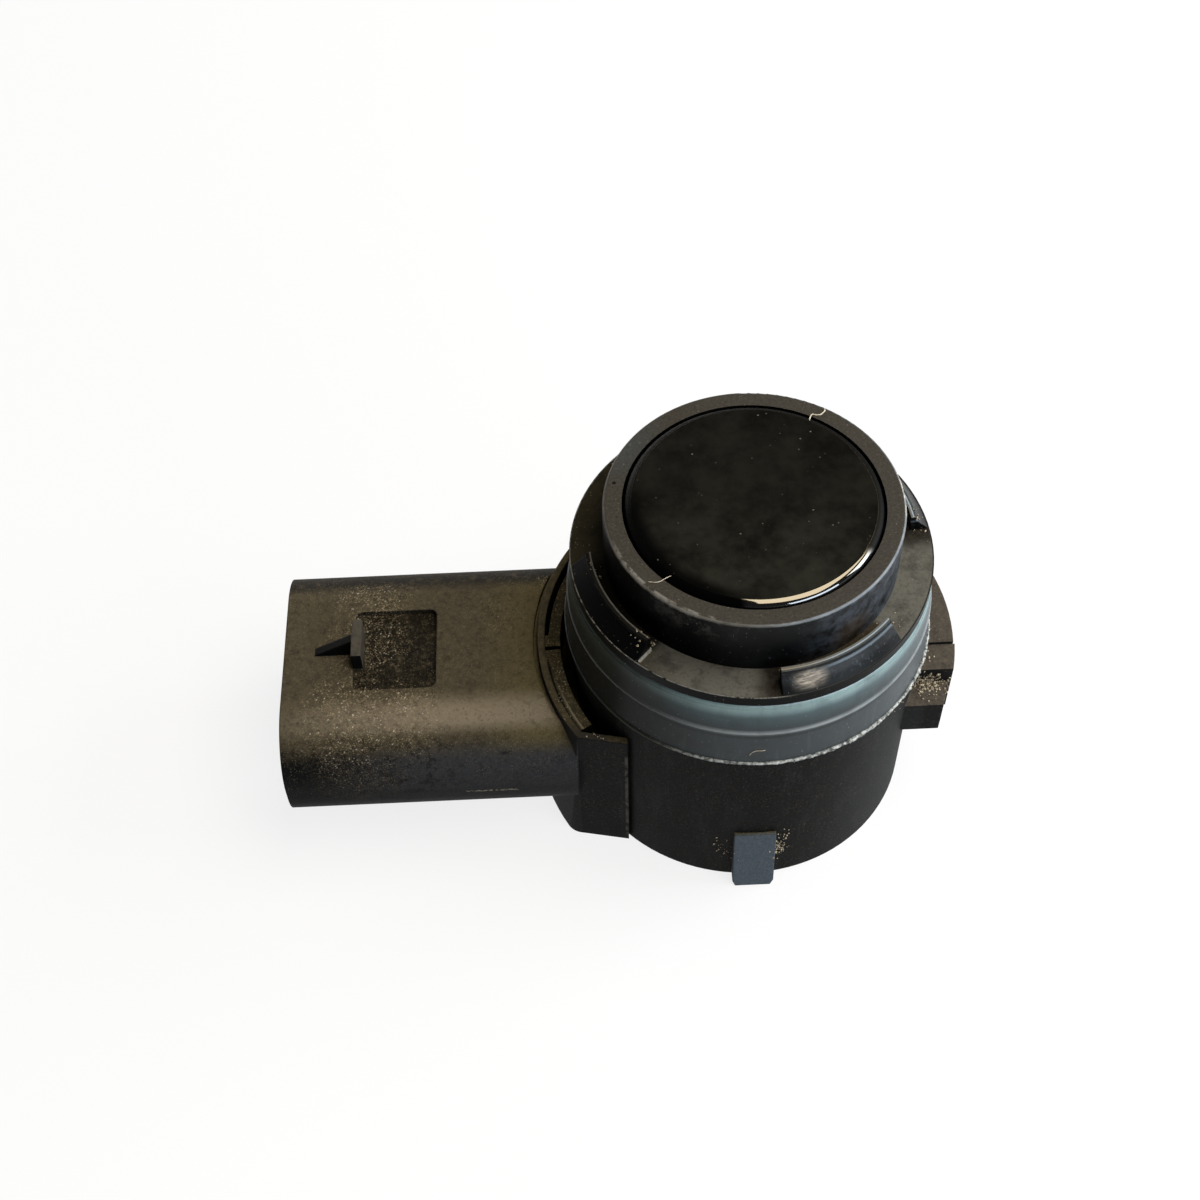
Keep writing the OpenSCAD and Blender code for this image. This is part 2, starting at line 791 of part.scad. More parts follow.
module ground_terminal() {
    color(tin) terminal_blade(1, 0);
}

module potting_compound() {
    color([0.2, 0.2, 0.22]) difference() {
        translate([0, 0, cover_t]) cylinder(h = potting_t, r = bore_r - fit_gap);
        for (x = [signal_pin_x, ground_pin_x]) contact_pin(x, fit_gap);
        for (row = [-1 : 1]) terminal_blade(row, fit_gap);
    }
}

housing();
rear_cover();
lug_collar();
seal_ring();
decoupling_ring();
membrane_pot();
piezo_disc();
damping_foam();
contact_carrier();
signal_pin();
ground_pin();
signal_lead();
ground_lead();
circuit_board();
driver_chip();
transformer_base();
transformer_core();
transformer_winding();
storage_capacitor();
protection_diode();
ceramic_capacitors();
resistors();
supply_terminal();
signal_terminal();
ground_terminal();
potting_compound();
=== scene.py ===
"""Looks of the parking sensor: camera, light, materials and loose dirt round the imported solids."""
import math
import random

import bmesh
import bpy
from mathutils import Euler, Matrix, Vector, geometry, noise
from mathutils.bvhtree import BVHTree


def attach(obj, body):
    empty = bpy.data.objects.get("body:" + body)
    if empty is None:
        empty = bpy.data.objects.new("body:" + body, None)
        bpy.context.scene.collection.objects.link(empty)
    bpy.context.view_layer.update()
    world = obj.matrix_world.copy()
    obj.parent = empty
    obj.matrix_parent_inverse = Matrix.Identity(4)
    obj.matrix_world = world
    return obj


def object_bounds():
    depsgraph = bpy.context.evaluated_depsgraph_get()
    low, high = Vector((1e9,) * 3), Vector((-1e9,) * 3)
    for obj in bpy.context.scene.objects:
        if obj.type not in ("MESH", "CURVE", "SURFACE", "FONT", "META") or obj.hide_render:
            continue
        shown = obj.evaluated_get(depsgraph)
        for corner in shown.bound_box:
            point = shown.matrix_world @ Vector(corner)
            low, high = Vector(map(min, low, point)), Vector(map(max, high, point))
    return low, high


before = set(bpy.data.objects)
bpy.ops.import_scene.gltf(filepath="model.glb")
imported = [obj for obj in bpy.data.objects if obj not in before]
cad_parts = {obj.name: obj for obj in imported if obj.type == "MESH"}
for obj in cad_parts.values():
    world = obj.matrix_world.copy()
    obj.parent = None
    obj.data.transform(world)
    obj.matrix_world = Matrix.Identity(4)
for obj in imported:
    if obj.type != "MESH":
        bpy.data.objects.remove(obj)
cad_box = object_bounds()

MM = 0.001
BODY = "root"


# Sizes in millimetres that the looks follow

def box(node):
    """Least and greatest coordinates of a solid."""
    places = [v.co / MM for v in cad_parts[node].data.vertices]
    return [Vector([pick(p[i] for p in places) for i in range(3)]) for pick in (min, max)]


# Housing: body, arm, latch, flange, root block and snap tabs
body_r = 11.2
arm_end = box("housing")[0].x
arm_top = 11.7
arm_half = 8.05
latch_x = arm_end + 4.55
recess_l = 5.35
recess_half = 3.1
flange_top = 12.0
flange_r = 13.45
rim_in_r = 13.0
block_near = 8.0
tab_half = 1.35
tab_top = 5.4

# Seal, collar with its lugs, ring and pot
seal_foot, seal_top = (corner.z for corner in box("seal_ring"))
seal_r = 11.5
ridge_z = seal_foot + 2.95
ledge_r = box("lug_collar")[1].x
lug_top = box("lug_collar")[1].z
ledge_top = lug_top - 1.2
rib_in_r = 9.83
lug_turn = 4.5
lug_span = 43.5
lug_count = 4
ring_top = box("decoupling_ring")[1].z
neck_r = 9.0
pot_r = 7.72
pot_flat_r = pot_r - 0.5


def srgb(red, green, blue):
    """Linear colour of an 8-bit display colour."""
    parts = []
    for value in (red, green, blue):
        v = value / 255
        parts.append(v / 12.92 if v <= 0.04045 else ((v + 0.055) / 1.055) ** 2.4)
    return (*parts, 1.0)


# Camera

def look(elevation, azimuth, roll, target, distance):
    """Matrix of a camera that looks at a target, angles in degrees and lengths in millimetres."""
    e, a, t = (math.radians(v) for v in (elevation, azimuth, roll))
    forward = Vector((math.sin(a) * math.cos(e), math.cos(a) * math.cos(e), -math.sin(e)))
    level = forward.cross(Vector((0, 0, 1))).normalized()
    plumb = level.cross(forward)
    right = level * math.cos(t) + plumb * math.sin(t)
    up = plumb * math.cos(t) - level * math.sin(t)
    matrix = Matrix((right, up, -forward)).transposed().to_4x4()
    matrix.translation = (Vector(target) - forward * distance) * MM
    return matrix


camera_data = bpy.data.cameras.new("camera")
camera_data.sensor_fit = "HORIZONTAL"
camera_data.sensor_width = 36
camera_data.lens = 54
camera_data.clip_start = 0.005
camera = bpy.data.objects.new("camera", camera_data)
bpy.context.scene.collection.objects.link(camera)
camera.matrix_world = look(elevation=53.3202, azimuth=0.6990, roll=-1.9612,
                           target=(-9.2917, 1.5415, 14.0), distance=116.1976)
bpy.context.scene.camera = camera


# Node helpers

class Shader:
    """A material whose nodes are added one call at a time, with lengths in millimetres.

    It gives the place (x, y, z), the distance from the sensing axis (radius) and the normal (nx, ny, nz).
    """

    def __init__(self, name):
        self.material = bpy.data.materials.new(name)
        self.material.use_nodes = True
        self.tree = self.material.node_tree
        self.surface = self.tree.nodes["Principled BSDF"]
        place = self.add("ShaderNodeTexCoord")
        scale = self.add("ShaderNodeVectorMath", operation="SCALE")
        self.put(scale.inputs[0], place.outputs["Object"])
        scale.inputs["Scale"].default_value = 1 / MM
        self.mm = scale.outputs[0]
        split = self.add("ShaderNodeSeparateXYZ")
        self.put(split.inputs[0], self.mm)
        self.x, self.y, self.z = split.outputs
        facing = self.add("ShaderNodeSeparateXYZ")
        self.put(facing.inputs[0], place.outputs["Normal"])
        self.nx, self.ny, self.nz = facing.outputs
        squares = self.math("ADD", self.times(self.x, self.x), self.times(self.y, self.y))
        self.radius = self.math("SQRT", squares)

    def add(self, kind, **settings):
        node = self.tree.nodes.new(kind)
        for key, value in settings.items():
            setattr(node, key, value)
        return node

    def put(self, socket, value):
        """Links a socket to an output, or sets its plain value."""
        if isinstance(value, bpy.types.NodeSocket):
            self.tree.links.new(value, socket)
        else:
            socket.default_value = value

    def set(self, **values):
        """Sets sockets of the surface by name, with spaces written as underscores."""
        for key, value in values.items():
            self.put(self.surface.inputs[key.replace("_", " ")], value)

    def math(self, operation, a, b=0.0):
        node = self.add("ShaderNodeMath", operation=operation)
        self.put(node.inputs[0], a)
        self.put(node.inputs[1], b)
        return node.outputs[0]

    def times(self, *factors):
        total = factors[0]
        for factor in factors[1:]:
            total = self.math("MULTIPLY", total, factor)
        return total

    def most(self, *values):
        total = values[0]
        for value in values[1:]:
            total = self.math("MAXIMUM", total, value)
        return total

    def fade(self, value, low, high):
        """0 at low and 1 at high, smooth between; low may be the larger."""
        node = self.add("ShaderNodeMapRange", interpolation_type="SMOOTHSTEP")
        self.put(node.inputs["Value"], value)
        node.inputs["From Min"].default_value = low
        node.inputs["From Max"].default_value = high
        return node.outputs["Result"]

    def span(self, value, low, high, soft):
        """1 between low and high, with soft edges."""
        rising = self.fade(value, low - soft, low + soft)
        return self.times(rising, self.fade(value, high + soft, high - soft))

    def near(self, point, reach, soft):
        """1 within reach of a point, fading over soft."""
        node = self.add("ShaderNodeVectorMath", operation="DISTANCE")
        self.put(node.inputs[0], self.mm)
        node.inputs[1].default_value = point
        return self.fade(node.outputs["Value"], reach + soft, reach)

    def noise(self, size, detail=3.0, rough=0.55, vector=None):
        node = self.add("ShaderNodeTexNoise")
        self.put(node.inputs["Vector"], vector or self.mm)
        node.inputs["Scale"].default_value = 1 / size
        node.inputs["Detail"].default_value = detail
        node.inputs["Roughness"].default_value = rough
        return node.outputs["Fac"]

    def turned(self, angles, stretch):
        """Coordinates turned by angles in degrees, then stretched."""
        node = self.add("ShaderNodeMapping", vector_type="TEXTURE")
        self.put(node.inputs["Vector"], self.mm)
        node.inputs["Rotation"].default_value = [math.radians(a) for a in angles]
        node.inputs["Scale"].default_value = stretch
        return node.outputs["Vector"]

    def flecks(self, size, share, vector=None):
        """Scattered spots: each cell has one, and about that share of the cells show it."""
        node = self.add("ShaderNodeTexVoronoi", feature="F1")
        self.put(node.inputs["Vector"], vector or self.mm)
        node.inputs["Scale"].default_value = 1 / size
        parts = self.add("ShaderNodeSeparateColor")
        self.put(parts.inputs[0], node.outputs["Color"])
        shown = self.fade(self.math("ADD", parts.outputs[0], share), 0.98, 1.02)
        return self.times(self.fade(node.outputs["Distance"], 0.45, 0.2), shown, parts.outputs[1])

    def mix(self, factor, a, b):
        """Colour between a and b, which are the Mix node's sockets 6 and 7."""
        node = self.add("ShaderNodeMix", data_type="RGBA")
        self.put(node.inputs[0], factor)
        self.put(node.inputs[6], a)
        self.put(node.inputs[7], b)
        return node.outputs[2]

    def blend(self, factor, a, b):
        """Number between a and b, which are the Mix node's sockets 2 and 3."""
        node = self.add("ShaderNodeMix", data_type="FLOAT")
        self.put(node.inputs[0], factor)
        self.put(node.inputs[2], a)
        self.put(node.inputs[3], b)
        return node.outputs[0]

    def worn_edges(self, radius):
        """Normal of edges rounded by a radius."""
        node = self.add("ShaderNodeBevel", samples=6)
        node.inputs["Radius"].default_value = radius * MM
        return node.outputs["Normal"]

    def relief(self, height, depth, strength, normal=None):
        """Bump of a depth, on the surface's own normal or another."""
        bump = self.add("ShaderNodeBump")
        self.put(bump.inputs["Height"], height)
        bump.inputs["Strength"].default_value = strength
        bump.inputs["Distance"].default_value = depth * MM
        if normal:
            self.put(bump.inputs["Normal"], normal)
        self.set(Normal=bump.outputs["Normal"])


def needles(shader, size, share, long):
    """Short fibres that lie in three directions."""
    turns = ((0, 0, 25), (0, 0, 85), (0, 0, 145))
    return shader.most(*(shader.flecks(size, share, shader.turned(t, (long, 1, 1))) for t in turns))


# Materials

def plastic_with_painted_light(s, front):
    """Plastic under the dust, with painted light: darker on the arm's end and the body's left, paler on the
    body's right (partly dust haze, partly painted light from the right) and on the upper arm's front (painted
    light).
    """
    on_body = s.fade(s.x, -11.0, -9.0)
    smear = s.noise(0.9, 4, 0.65, s.turned((0, 0, 0), (1, 1, 5)))
    # painted light and shade: near black on the body's left, paler on its right, partly a dust haze
    body = s.mix(s.fade(s.x, 2.0, 9.0), srgb(9, 9, 10), srgb(31, 32, 33))
    colour = s.mix(on_body, srgb(11, 12, 13), body)
    colour = s.mix(s.times(on_body, s.fade(smear, 0.45, 0.75), 0.5), colour, srgb(38, 39, 40))
    colour = s.mix(s.fade(s.x, body_r - 0.2, body_r + 0.2), colour, srgb(20, 20, 21))
    # painted light on the arm's front, stronger higher up and towards the body
    pale = s.times(front, s.blend(s.fade(s.z, 5.5, 9.5), 0.2, 1.0), s.fade(s.x, -29.0, -19.0))
    return s.mix(pale, colour, srgb(54, 54, 56))


def dust_and_painted_light(s, colour, on_arm, grain, cloud, mottle):
    """Dust on what faces up, painted light on the arm's top by the body, a pale band along the arm's rounding
    that is part dust and part painted highlight, painted shade in the recess, a dark back, and a fine grain.
    """
    up = s.fade(s.nz, 0.5, 0.92)
    off_arm = s.math("SUBTRACT", 1.0, on_arm)
    rounding = s.times(on_arm, s.fade(s.y, -3.2, -5.0), s.fade(s.nz, 0.8, 0.95))
    behind = s.times(on_arm, s.fade(s.ny, 0.05, 0.4), s.fade(s.z, 2.9, 3.1))
    recess = s.times(s.span(s.x, latch_x - 0.05, latch_x + recess_l + 0.05, 0.03),
                     s.span(s.y, -recess_half - 0.04, recess_half + 0.04, 0.03),
                     s.fade(s.z, arm_top - 0.02, arm_top - 0.1))
    colour = s.mix(s.times(up, on_arm, s.blend(cloud, 0.8, 1.05)), colour, srgb(78, 70, 54))
    # painted light: the arm's top is paler near the body, making up for the body's shadow
    colour = s.mix(s.times(up, on_arm, s.fade(s.x, -18.0, -13.0), 0.85), colour, srgb(98, 88, 58))
    colour = s.mix(s.times(up, off_arm, s.blend(mottle, 0.6, 1.0)), colour, srgb(86, 77, 55))
    colour = s.mix(s.times(up, s.fade(s.x, 8.0, 9.5)), colour, srgb(74, 68, 61))
    # partly dust, partly a painted highlight along the arm's rounding
    band = s.times(rounding, s.blend(cloud, 0.75, 1.05), s.fade(s.x, -34.0, -20.0))
    colour = s.mix(band, colour, srgb(138, 125, 106))
    colour = s.mix(behind, colour, srgb(26, 22, 16))
    # painted shade in the recess, darkest on its walls
    colour = s.mix(recess, colour, s.mix(s.fade(s.nz, 0.3, 0.7), srgb(40, 35, 26), srgb(26, 23, 16)))
    colour = s.mix(s.times(up, s.fade(mottle, 0.5, 0.7), 0.25), colour, srgb(104, 94, 74))
    colour = s.mix(s.times(s.fade(mottle, 0.5, 0.3), 0.3), colour, srgb(14, 13, 11))
    colour = s.mix(s.times(s.fade(grain, 0.52, 0.75), s.blend(up, 0.25, 0.5)), colour, srgb(112, 102, 80))
    return s.mix(s.times(s.fade(grain, 0.5, 0.26), 0.65), colour, srgb(13, 12, 10))


def painted_light_and_stains(s, colour, front, grain, mottle):
    """Snap tabs painted blue-grey as if in cool light, the socket's end face painted paler as if lit, and
    dark stains on the arm's front.
    """
    # painted light: the snap tabs get the blue-grey of cool light from the front
    tab = s.times(s.span(s.x, -tab_half - 0.02, tab_half + 0.02, 0.03),
                  s.fade(s.math("ABSOLUTE", s.y), body_r, body_r + 0.1),
                  s.fade(s.z, tab_top + 0.05, tab_top - 0.05))
    colour = s.mix(tab, colour, s.mix(s.fade(grain, 0.4, 0.65), srgb(78, 86, 94), srgb(92, 100, 108)))
    # painted light: the socket's end face is made paler in place of a light from the left
    mouth_painted_light = s.times(s.fade(s.x, arm_end + 0.1, arm_end + 0.02), s.fade(s.nx, -0.8, -0.95))
    colour = s.mix(mouth_painted_light, colour, s.mix(s.fade(mottle, 0.4, 0.6), srgb(44, 43, 42), srgb(60, 58, 54)))
    stain = s.times(front, s.fade(mottle, 0.5, 0.36), s.fade(s.x, -17.0, -22.0))
    return s.mix(s.times(stain, 0.7), colour, srgb(8, 8, 9))


def ground_zone(s):
    """Where the arm is ground so that fibres show."""
    zone = s.most(s.near((-24.2, 4.3, 11.6), 0.8, 2.6), s.near((-24.6, 0.8, 11.4), 1.0, 2.8),
                  s.near((-25.4, -5.0, 11.4), 1.4, 3.2), s.near((-22.4, -5.0, 11.4), 1.0, 2.8),
                  s.times(s.near((-25.0, -7.4, 9.6), 1.2, 3.0), 0.38),
                  s.times(s.near((-16.0, 2.6, 11.7), 0.4, 2.0), 0.35))
    return s.times(zone, s.fade(s.noise(1.0, 4, 0.65), 0.28, 0.52), s.fade(s.ny, 0.4, 0.2))


def fibre_colour(s, colour, zone, clump, fibres, cloud, mottle):
    """Fibres and glints in the ground zone, and specks of dust all over."""
    glints = s.times(s.flecks(0.11, 0.16, s.turned((0, 0, 50), (1.8, 1, 1))), zone)
    dust = s.times(s.flecks(0.09, 0.45), s.fade(s.nz, -0.3, 0.3), s.fade(cloud, 0.34, 0.58))
    colour = s.mix(s.times(zone, s.fade(clump, 0.5, 0.0), 0.3), colour, srgb(24, 21, 16))
    colour = s.mix(s.times(fibres, 0.85), colour, s.mix(mottle, srgb(140, 116, 76), srgb(206, 190, 160)))
    colour = s.mix(s.times(glints, 0.9), colour, srgb(216, 206, 186))
    return s.mix(s.times(dust, 0.42), colour, srgb(150, 137, 110))


def rim_dirt_and_shade(s, colour, mottle):
    """Dirt on the flange's inner ledge with a pale worn line, painted shade in the groove by the rim's inner
    wall, a darker front on the rim's top, and dirt in the crease beside the root block.
    """
    far_rim = s.times(s.fade(s.x, -9.0, -9.6), s.fade(s.x, -flange_r - 0.15, -flange_r + 0.05),
                      s.fade(s.nz, 0.8, 0.95))
    ledge = s.times(far_rim, s.span(s.z, arm_top - 0.3, arm_top, 0.04))
    colour = s.mix(s.times(ledge, needles(s, 0.11, 0.35, 1.6), 0.8), colour, srgb(160, 142, 104))
    # painted shade in the groove by the rim's inner wall
    painted_gap_shade = s.times(ledge, s.span(s.radius, rim_in_r - 0.2, rim_in_r - 0.03, 0.03), s.fade(s.y, -0.5, -2.0))
    colour = s.mix(s.times(painted_gap_shade, 0.9), colour, srgb(10, 9, 7))
    lip = s.times(ledge, s.span(s.radius, rim_in_r - 0.44, rim_in_r - 0.32, 0.04), s.fade(s.y, -2.5, -5.5))
    colour = s.mix(s.times(lip, 0.8), colour, srgb(150, 140, 118))
    block = s.times(far_rim, s.fade(s.z, flange_top - 0.1, flange_top - 0.02), s.fade(s.y, -6.4, -7.2))
    colour = s.mix(s.times(block, 0.75), colour, srgb(46, 44, 41))
    crease = s.times(s.span(s.x, -block_near - 0.2, -block_near + 0.04, 0.05),
                     s.span(s.y, -block_near - 0.4, -block_near, 0.05), s.span(s.z, 0.4, 10.5, 0.5))
    return s.mix(s.times(crease, s.fade(mottle, 0.36, 0.6), 0.6), colour, srgb(96, 92, 82))


def arm_marks(s, colour):
    """A scratch low on the arm's front and a small dent above it."""
    scratch = s.times(s.span(s.z, 6.78, 6.96, 0.05), s.span(s.x, -18.4, -15.0, 0.2),
                      s.fade(s.y, -arm_half + 0.1, -arm_half + 0.02), s.fade(s.noise(0.2, 2), 0.42, 0.6))
    colour = s.mix(s.times(scratch, 0.8), colour, srgb(140, 132, 116))
    dent = s.times(s.near((-15.74, -7.31, 10.12), 0.05, 0.42), s.span(s.z, 10.06, 10.2, 0.1))
    return s.mix(s.times(dent, 0.8), colour, srgb(12, 12, 13))


def latch_wear_and_shade(s, colour, on_arm, grain, mottle):
    """Worn grey top of the latch bar, its front in painted shade, and the ramp behind it dark with painted
    shade.
    """
    above = s.times(on_arm, s.fade(s.z, arm_top + 0.01, arm_top + 0.06))
    bar = s.times(above, s.fade(s.x, latch_x - 0.04, latch_x + 0.02))
    ramp = s.times(above, s.fade(s.x, latch_x + 0.02, latch_x - 0.04))
    worn = s.mix(s.fade(mottle, 0.4, 0.7), srgb(80, 75, 66), srgb(66, 61, 53))
    # worn grey top, and painted shade on the bar's front
    colour = s.mix(bar, colour, s.mix(s.fade(s.ny, -0.4, -0.8), worn, srgb(9, 9, 10)))
    # painted shade over the whole ramp
    return s.mix(ramp, colour, s.mix(s.fade(grain, 0.5, 0.8), srgb(7, 6, 6), srgb(24, 21, 17)))


def moulded_black():
    """Dark moulded plastic of the housing, with dust, ground fibres, dirt and marks, and painted light and
    shade.
    """
    s = Shader("moulded_black")
    grain = s.noise(0.2, 5, 0.75)
    cloud = s.noise(2.6, 4, 0.6)
    mottle = s.noise(0.55, 4, 0.65)
    on_arm = s.times(s.fade(s.x, -8.0, -9.0), s.fade(s.radius, flange_r - 0.01, flange_r + 0.05))
    front = s.times(on_arm, s.fade(s.nz, 0.88, 0.6), s.fade(s.ny, -0.4, -0.7))
    colour = plastic_with_painted_light(s, front)
    colour = dust_and_painted_light(s, colour, on_arm, grain, cloud, mottle)
    colour = painted_light_and_stains(s, colour, front, grain, mottle)
    zone = ground_zone(s)
    clump = s.fade(s.noise(0.35, 3, 0.6), 0.36, 0.6)
    fibres = s.times(needles(s, 0.072, 0.62, 3.2), zone, s.blend(clump, 0.25, 1.0))
    colour = fibre_colour(s, colour, zone, clump, fibres, cloud, mottle)
    colour = rim_dirt_and_shade(s, colour, mottle)
    colour = arm_marks(s, colour)
    colour = latch_wear_and_shade(s, colour, on_arm, grain, mottle)
    s.set(Base_Color=colour, Specular_IOR_Level=0.06, Roughness=s.blend(grain, 0.5, 0.75))
    s.relief(s.most(grain, fibres), 0.03, 0.5, s.worn_edges(0.16))
    return s.material


def lug_wear_and_highlights(s, colour, right, cloud, fine):
    """Worn rib on each lug with painted highlights, paler on the right, and rubbed slopes with a painted
    sheen on the right.
    """
    crest = s.times(s.fade(s.z, lug_top - 0.2, lug_top - 0.05), s.fade(s.nz, 0.7, 0.95))
    # painted light: the crest is dark on the left and pale blue-grey on the right
    rib = s.mix(right, srgb(34, 33, 29), srgb(70, 74, 74))
    colour = s.mix(s.times(crest, s.blend(cloud, 0.4, 1.0)), colour, rib)
    # edge wear and a painted highlight along the rib's inner edge
    inner_edge = s.times(crest, s.span(s.radius, rib_in_r - 0.03, rib_in_r + 0.09, 0.03))
    colour = s.mix(s.times(inner_edge, s.blend(fine, 0.2, 1.0)), colour, srgb(128, 126, 116))
    # painted highlight along the right rib, warm on the left and cool on the right
    shine = s.times(crest, s.span(s.radius, rib_in_r + 0.12, rib_in_r + 0.2, 0.035), right)
    warm_to_cool = s.mix(s.fade(s.x, 1.0, 5.0), srgb(150, 134, 108), srgb(168, 180, 188))
    colour = s.mix(s.times(shine, 0.85), colour, warm_to_cool)
    sloped = s.fade(s.nz, 0.95, 0.8)
    brushed = s.noise(0.14, 4, 0.7, s.turned((0, 0, 12), (6, 1, 1)))
    # wear and a painted warm highlight at the front of the right lug's sloped face
    sheen_and_rub = s.times(s.span(s.x, 1.9, 3.1, 0.7), s.span(s.z, ledge_top + 0.3, ledge_top + 0.8, 0.3),
                  s.blend(s.fade(brushed, 0.4, 0.62), 0.35, 1.1), sloped)
    colour = s.mix(sheen_and_rub, colour, srgb(206, 193, 176))
    # painted light: a cool blue-grey sheen on the sloped faces on the right
    slope_sheen = s.times(right, s.fade(s.z, ledge_top + 0.1, ledge_top + 0.3), sloped, s.fade(fine, 0.5, 0.72))
    colour = s.mix(s.times(slope_sheen, 0.35), colour, srgb(76, 84, 92))
    # painted highlight along the lug's stepped edge on the right
    step_highlight = s.times(s.span(s.z, lug_top - 0.42, lug_top - 0.32, 0.04), sloped, s.fade(s.x, 2.5, 4.5))
    return s.mix(s.times(step_highlight, 0.7), colour, srgb(104, 116, 126))


def ledge_dirt_and_shade(s, colour, flat, right, grain, fine):
    """Grain on the ledge, brown dirt by the lugs, painted shade between rib and neck on the left, a painted
    shadow by the start of each lug on the right, pale wear at a lug's foot, and a pale line along the brink.
    """
    colour = s.mix(s.times(flat, s.fade(grain, 0.5, 0.25), 0.5), colour, srgb(26, 24, 19))
    colour = s.mix(s.times(flat, s.fade(grain, 0.52, 0.75), right, 0.4), colour, srgb(110, 106, 97))
    lead = 10
    start = lug_turn + lead
    stop = start + lug_span
    degrees = s.times(s.math("ARCTAN2", s.y, s.x), 180 / math.pi)
    turn = s.math("MODULO", s.math("ADD", degrees, 360 + lead), 360 / lug_count)
    # brown dirt between rib and neck on the right, painted shade there on the left
    crevice_dirt_and_shade = s.times(flat, s.fade(s.radius, rib_in_r + 0.01, rib_in_r - 0.09),
                      s.span(turn, start - 1, stop + 1, 2.0), s.blend(fine, 0.6, 1.1))
    colour = s.mix(crevice_dirt_and_shade, colour, s.mix(right, srgb(13, 11, 8), srgb(46, 36, 20)))
    # painted shadow on the ledge by the start of each lug on the right
    corner = s.times(flat, right, s.fade(turn, start - 10.5, start - 2.5),
                     s.fade(turn, start + 1.5, start + 0.5))
    colour = s.mix(s.times(corner, s.blend(fine, 0.6, 1.2)), colour, srgb(22, 15, 6))
    foot = s.times(s.span(turn, stop - 0.3, stop + 0.8, 0.2),
                   s.span(s.z, ledge_top - 0.02, ledge_top + 0.12, 0.02),
                   s.span(s.radius, rib_in_r - 0.03, ledge_r - 0.2, 0.05), s.fade(s.x, 0.0, -3.0))
    colour = s.mix(s.times(foot, s.blend(fine, 0.4, 1.0)), colour, srgb(170, 168, 160))
    brink = s.times(s.span(s.radius, ledge_r - 0.07, ledge_r - 0.01, 0.025),
                    s.fade(s.z, ledge_top - 0.08, ledge_top - 0.02), s.fade(s.x, 2.0, 0.0))
    return s.mix(s.times(brink, s.fade(fine, 0.36, 0.56), 0.7), colour, srgb(150, 148, 140))


def collar_black():
    """Collar plastic: dull dusty ledge, brown dirt with painted shade on the arm's side, shinier lugs with a
    worn rib and painted highlights.
    """
    s = Shader("collar_black")
    grain = s.noise(0.2, 5, 0.7)
    cloud = s.noise(1.3, 4, 0.65)
    fine = s.noise(0.3, 4, 0.7)
    right = s.fade(s.x, -3.0, 0.5)
    flat = s.times(s.fade(s.nz, 0.9, 0.99), s.fade(s.z, ledge_top + 0.6, ledge_top + 0.1),
                   s.fade(s.radius, ledge_r - 0.04, ledge_r - 0.13))
    # brown dirt and painted shade: the ledge is darker towards the arm's side
    dirt = s.mix(s.fade(s.x, -4.5, -8.5), srgb(93, 90, 82), srgb(48, 44, 32))
    colour = s.mix(s.times(flat, s.blend(s.fade(cloud, 0.3, 0.6), 0.55, 1.1)), srgb(9, 10, 10), dirt)
    colour = lug_wear_and_highlights(s, colour, right, cloud, fine)
    colour = ledge_dirt_and_shade(s, colour, flat, right, grain, fine)
    colour = s.mix(s.times(s.flecks(0.12, 0.05), 0.3), colour, srgb(170, 160, 140))
    wall = s.fade(s.z, ledge_top + 0.04, ledge_top - 0.1)
    upper = s.blend(s.fade(s.z, ledge_top + 0.3, ledge_top + 0.55), 0.45, 1.0)
    gloss = s.blend(wall, s.blend(s.times(right, upper), 0.03, 0.26), 0.03)
    s.set(Base_Color=colour, Specular_IOR_Level=gloss, Roughness=s.blend(flat, 0.32, 0.8))
    s.relief(grain, 0.02, 0.35, s.worn_edges(0.1))
    return s.material


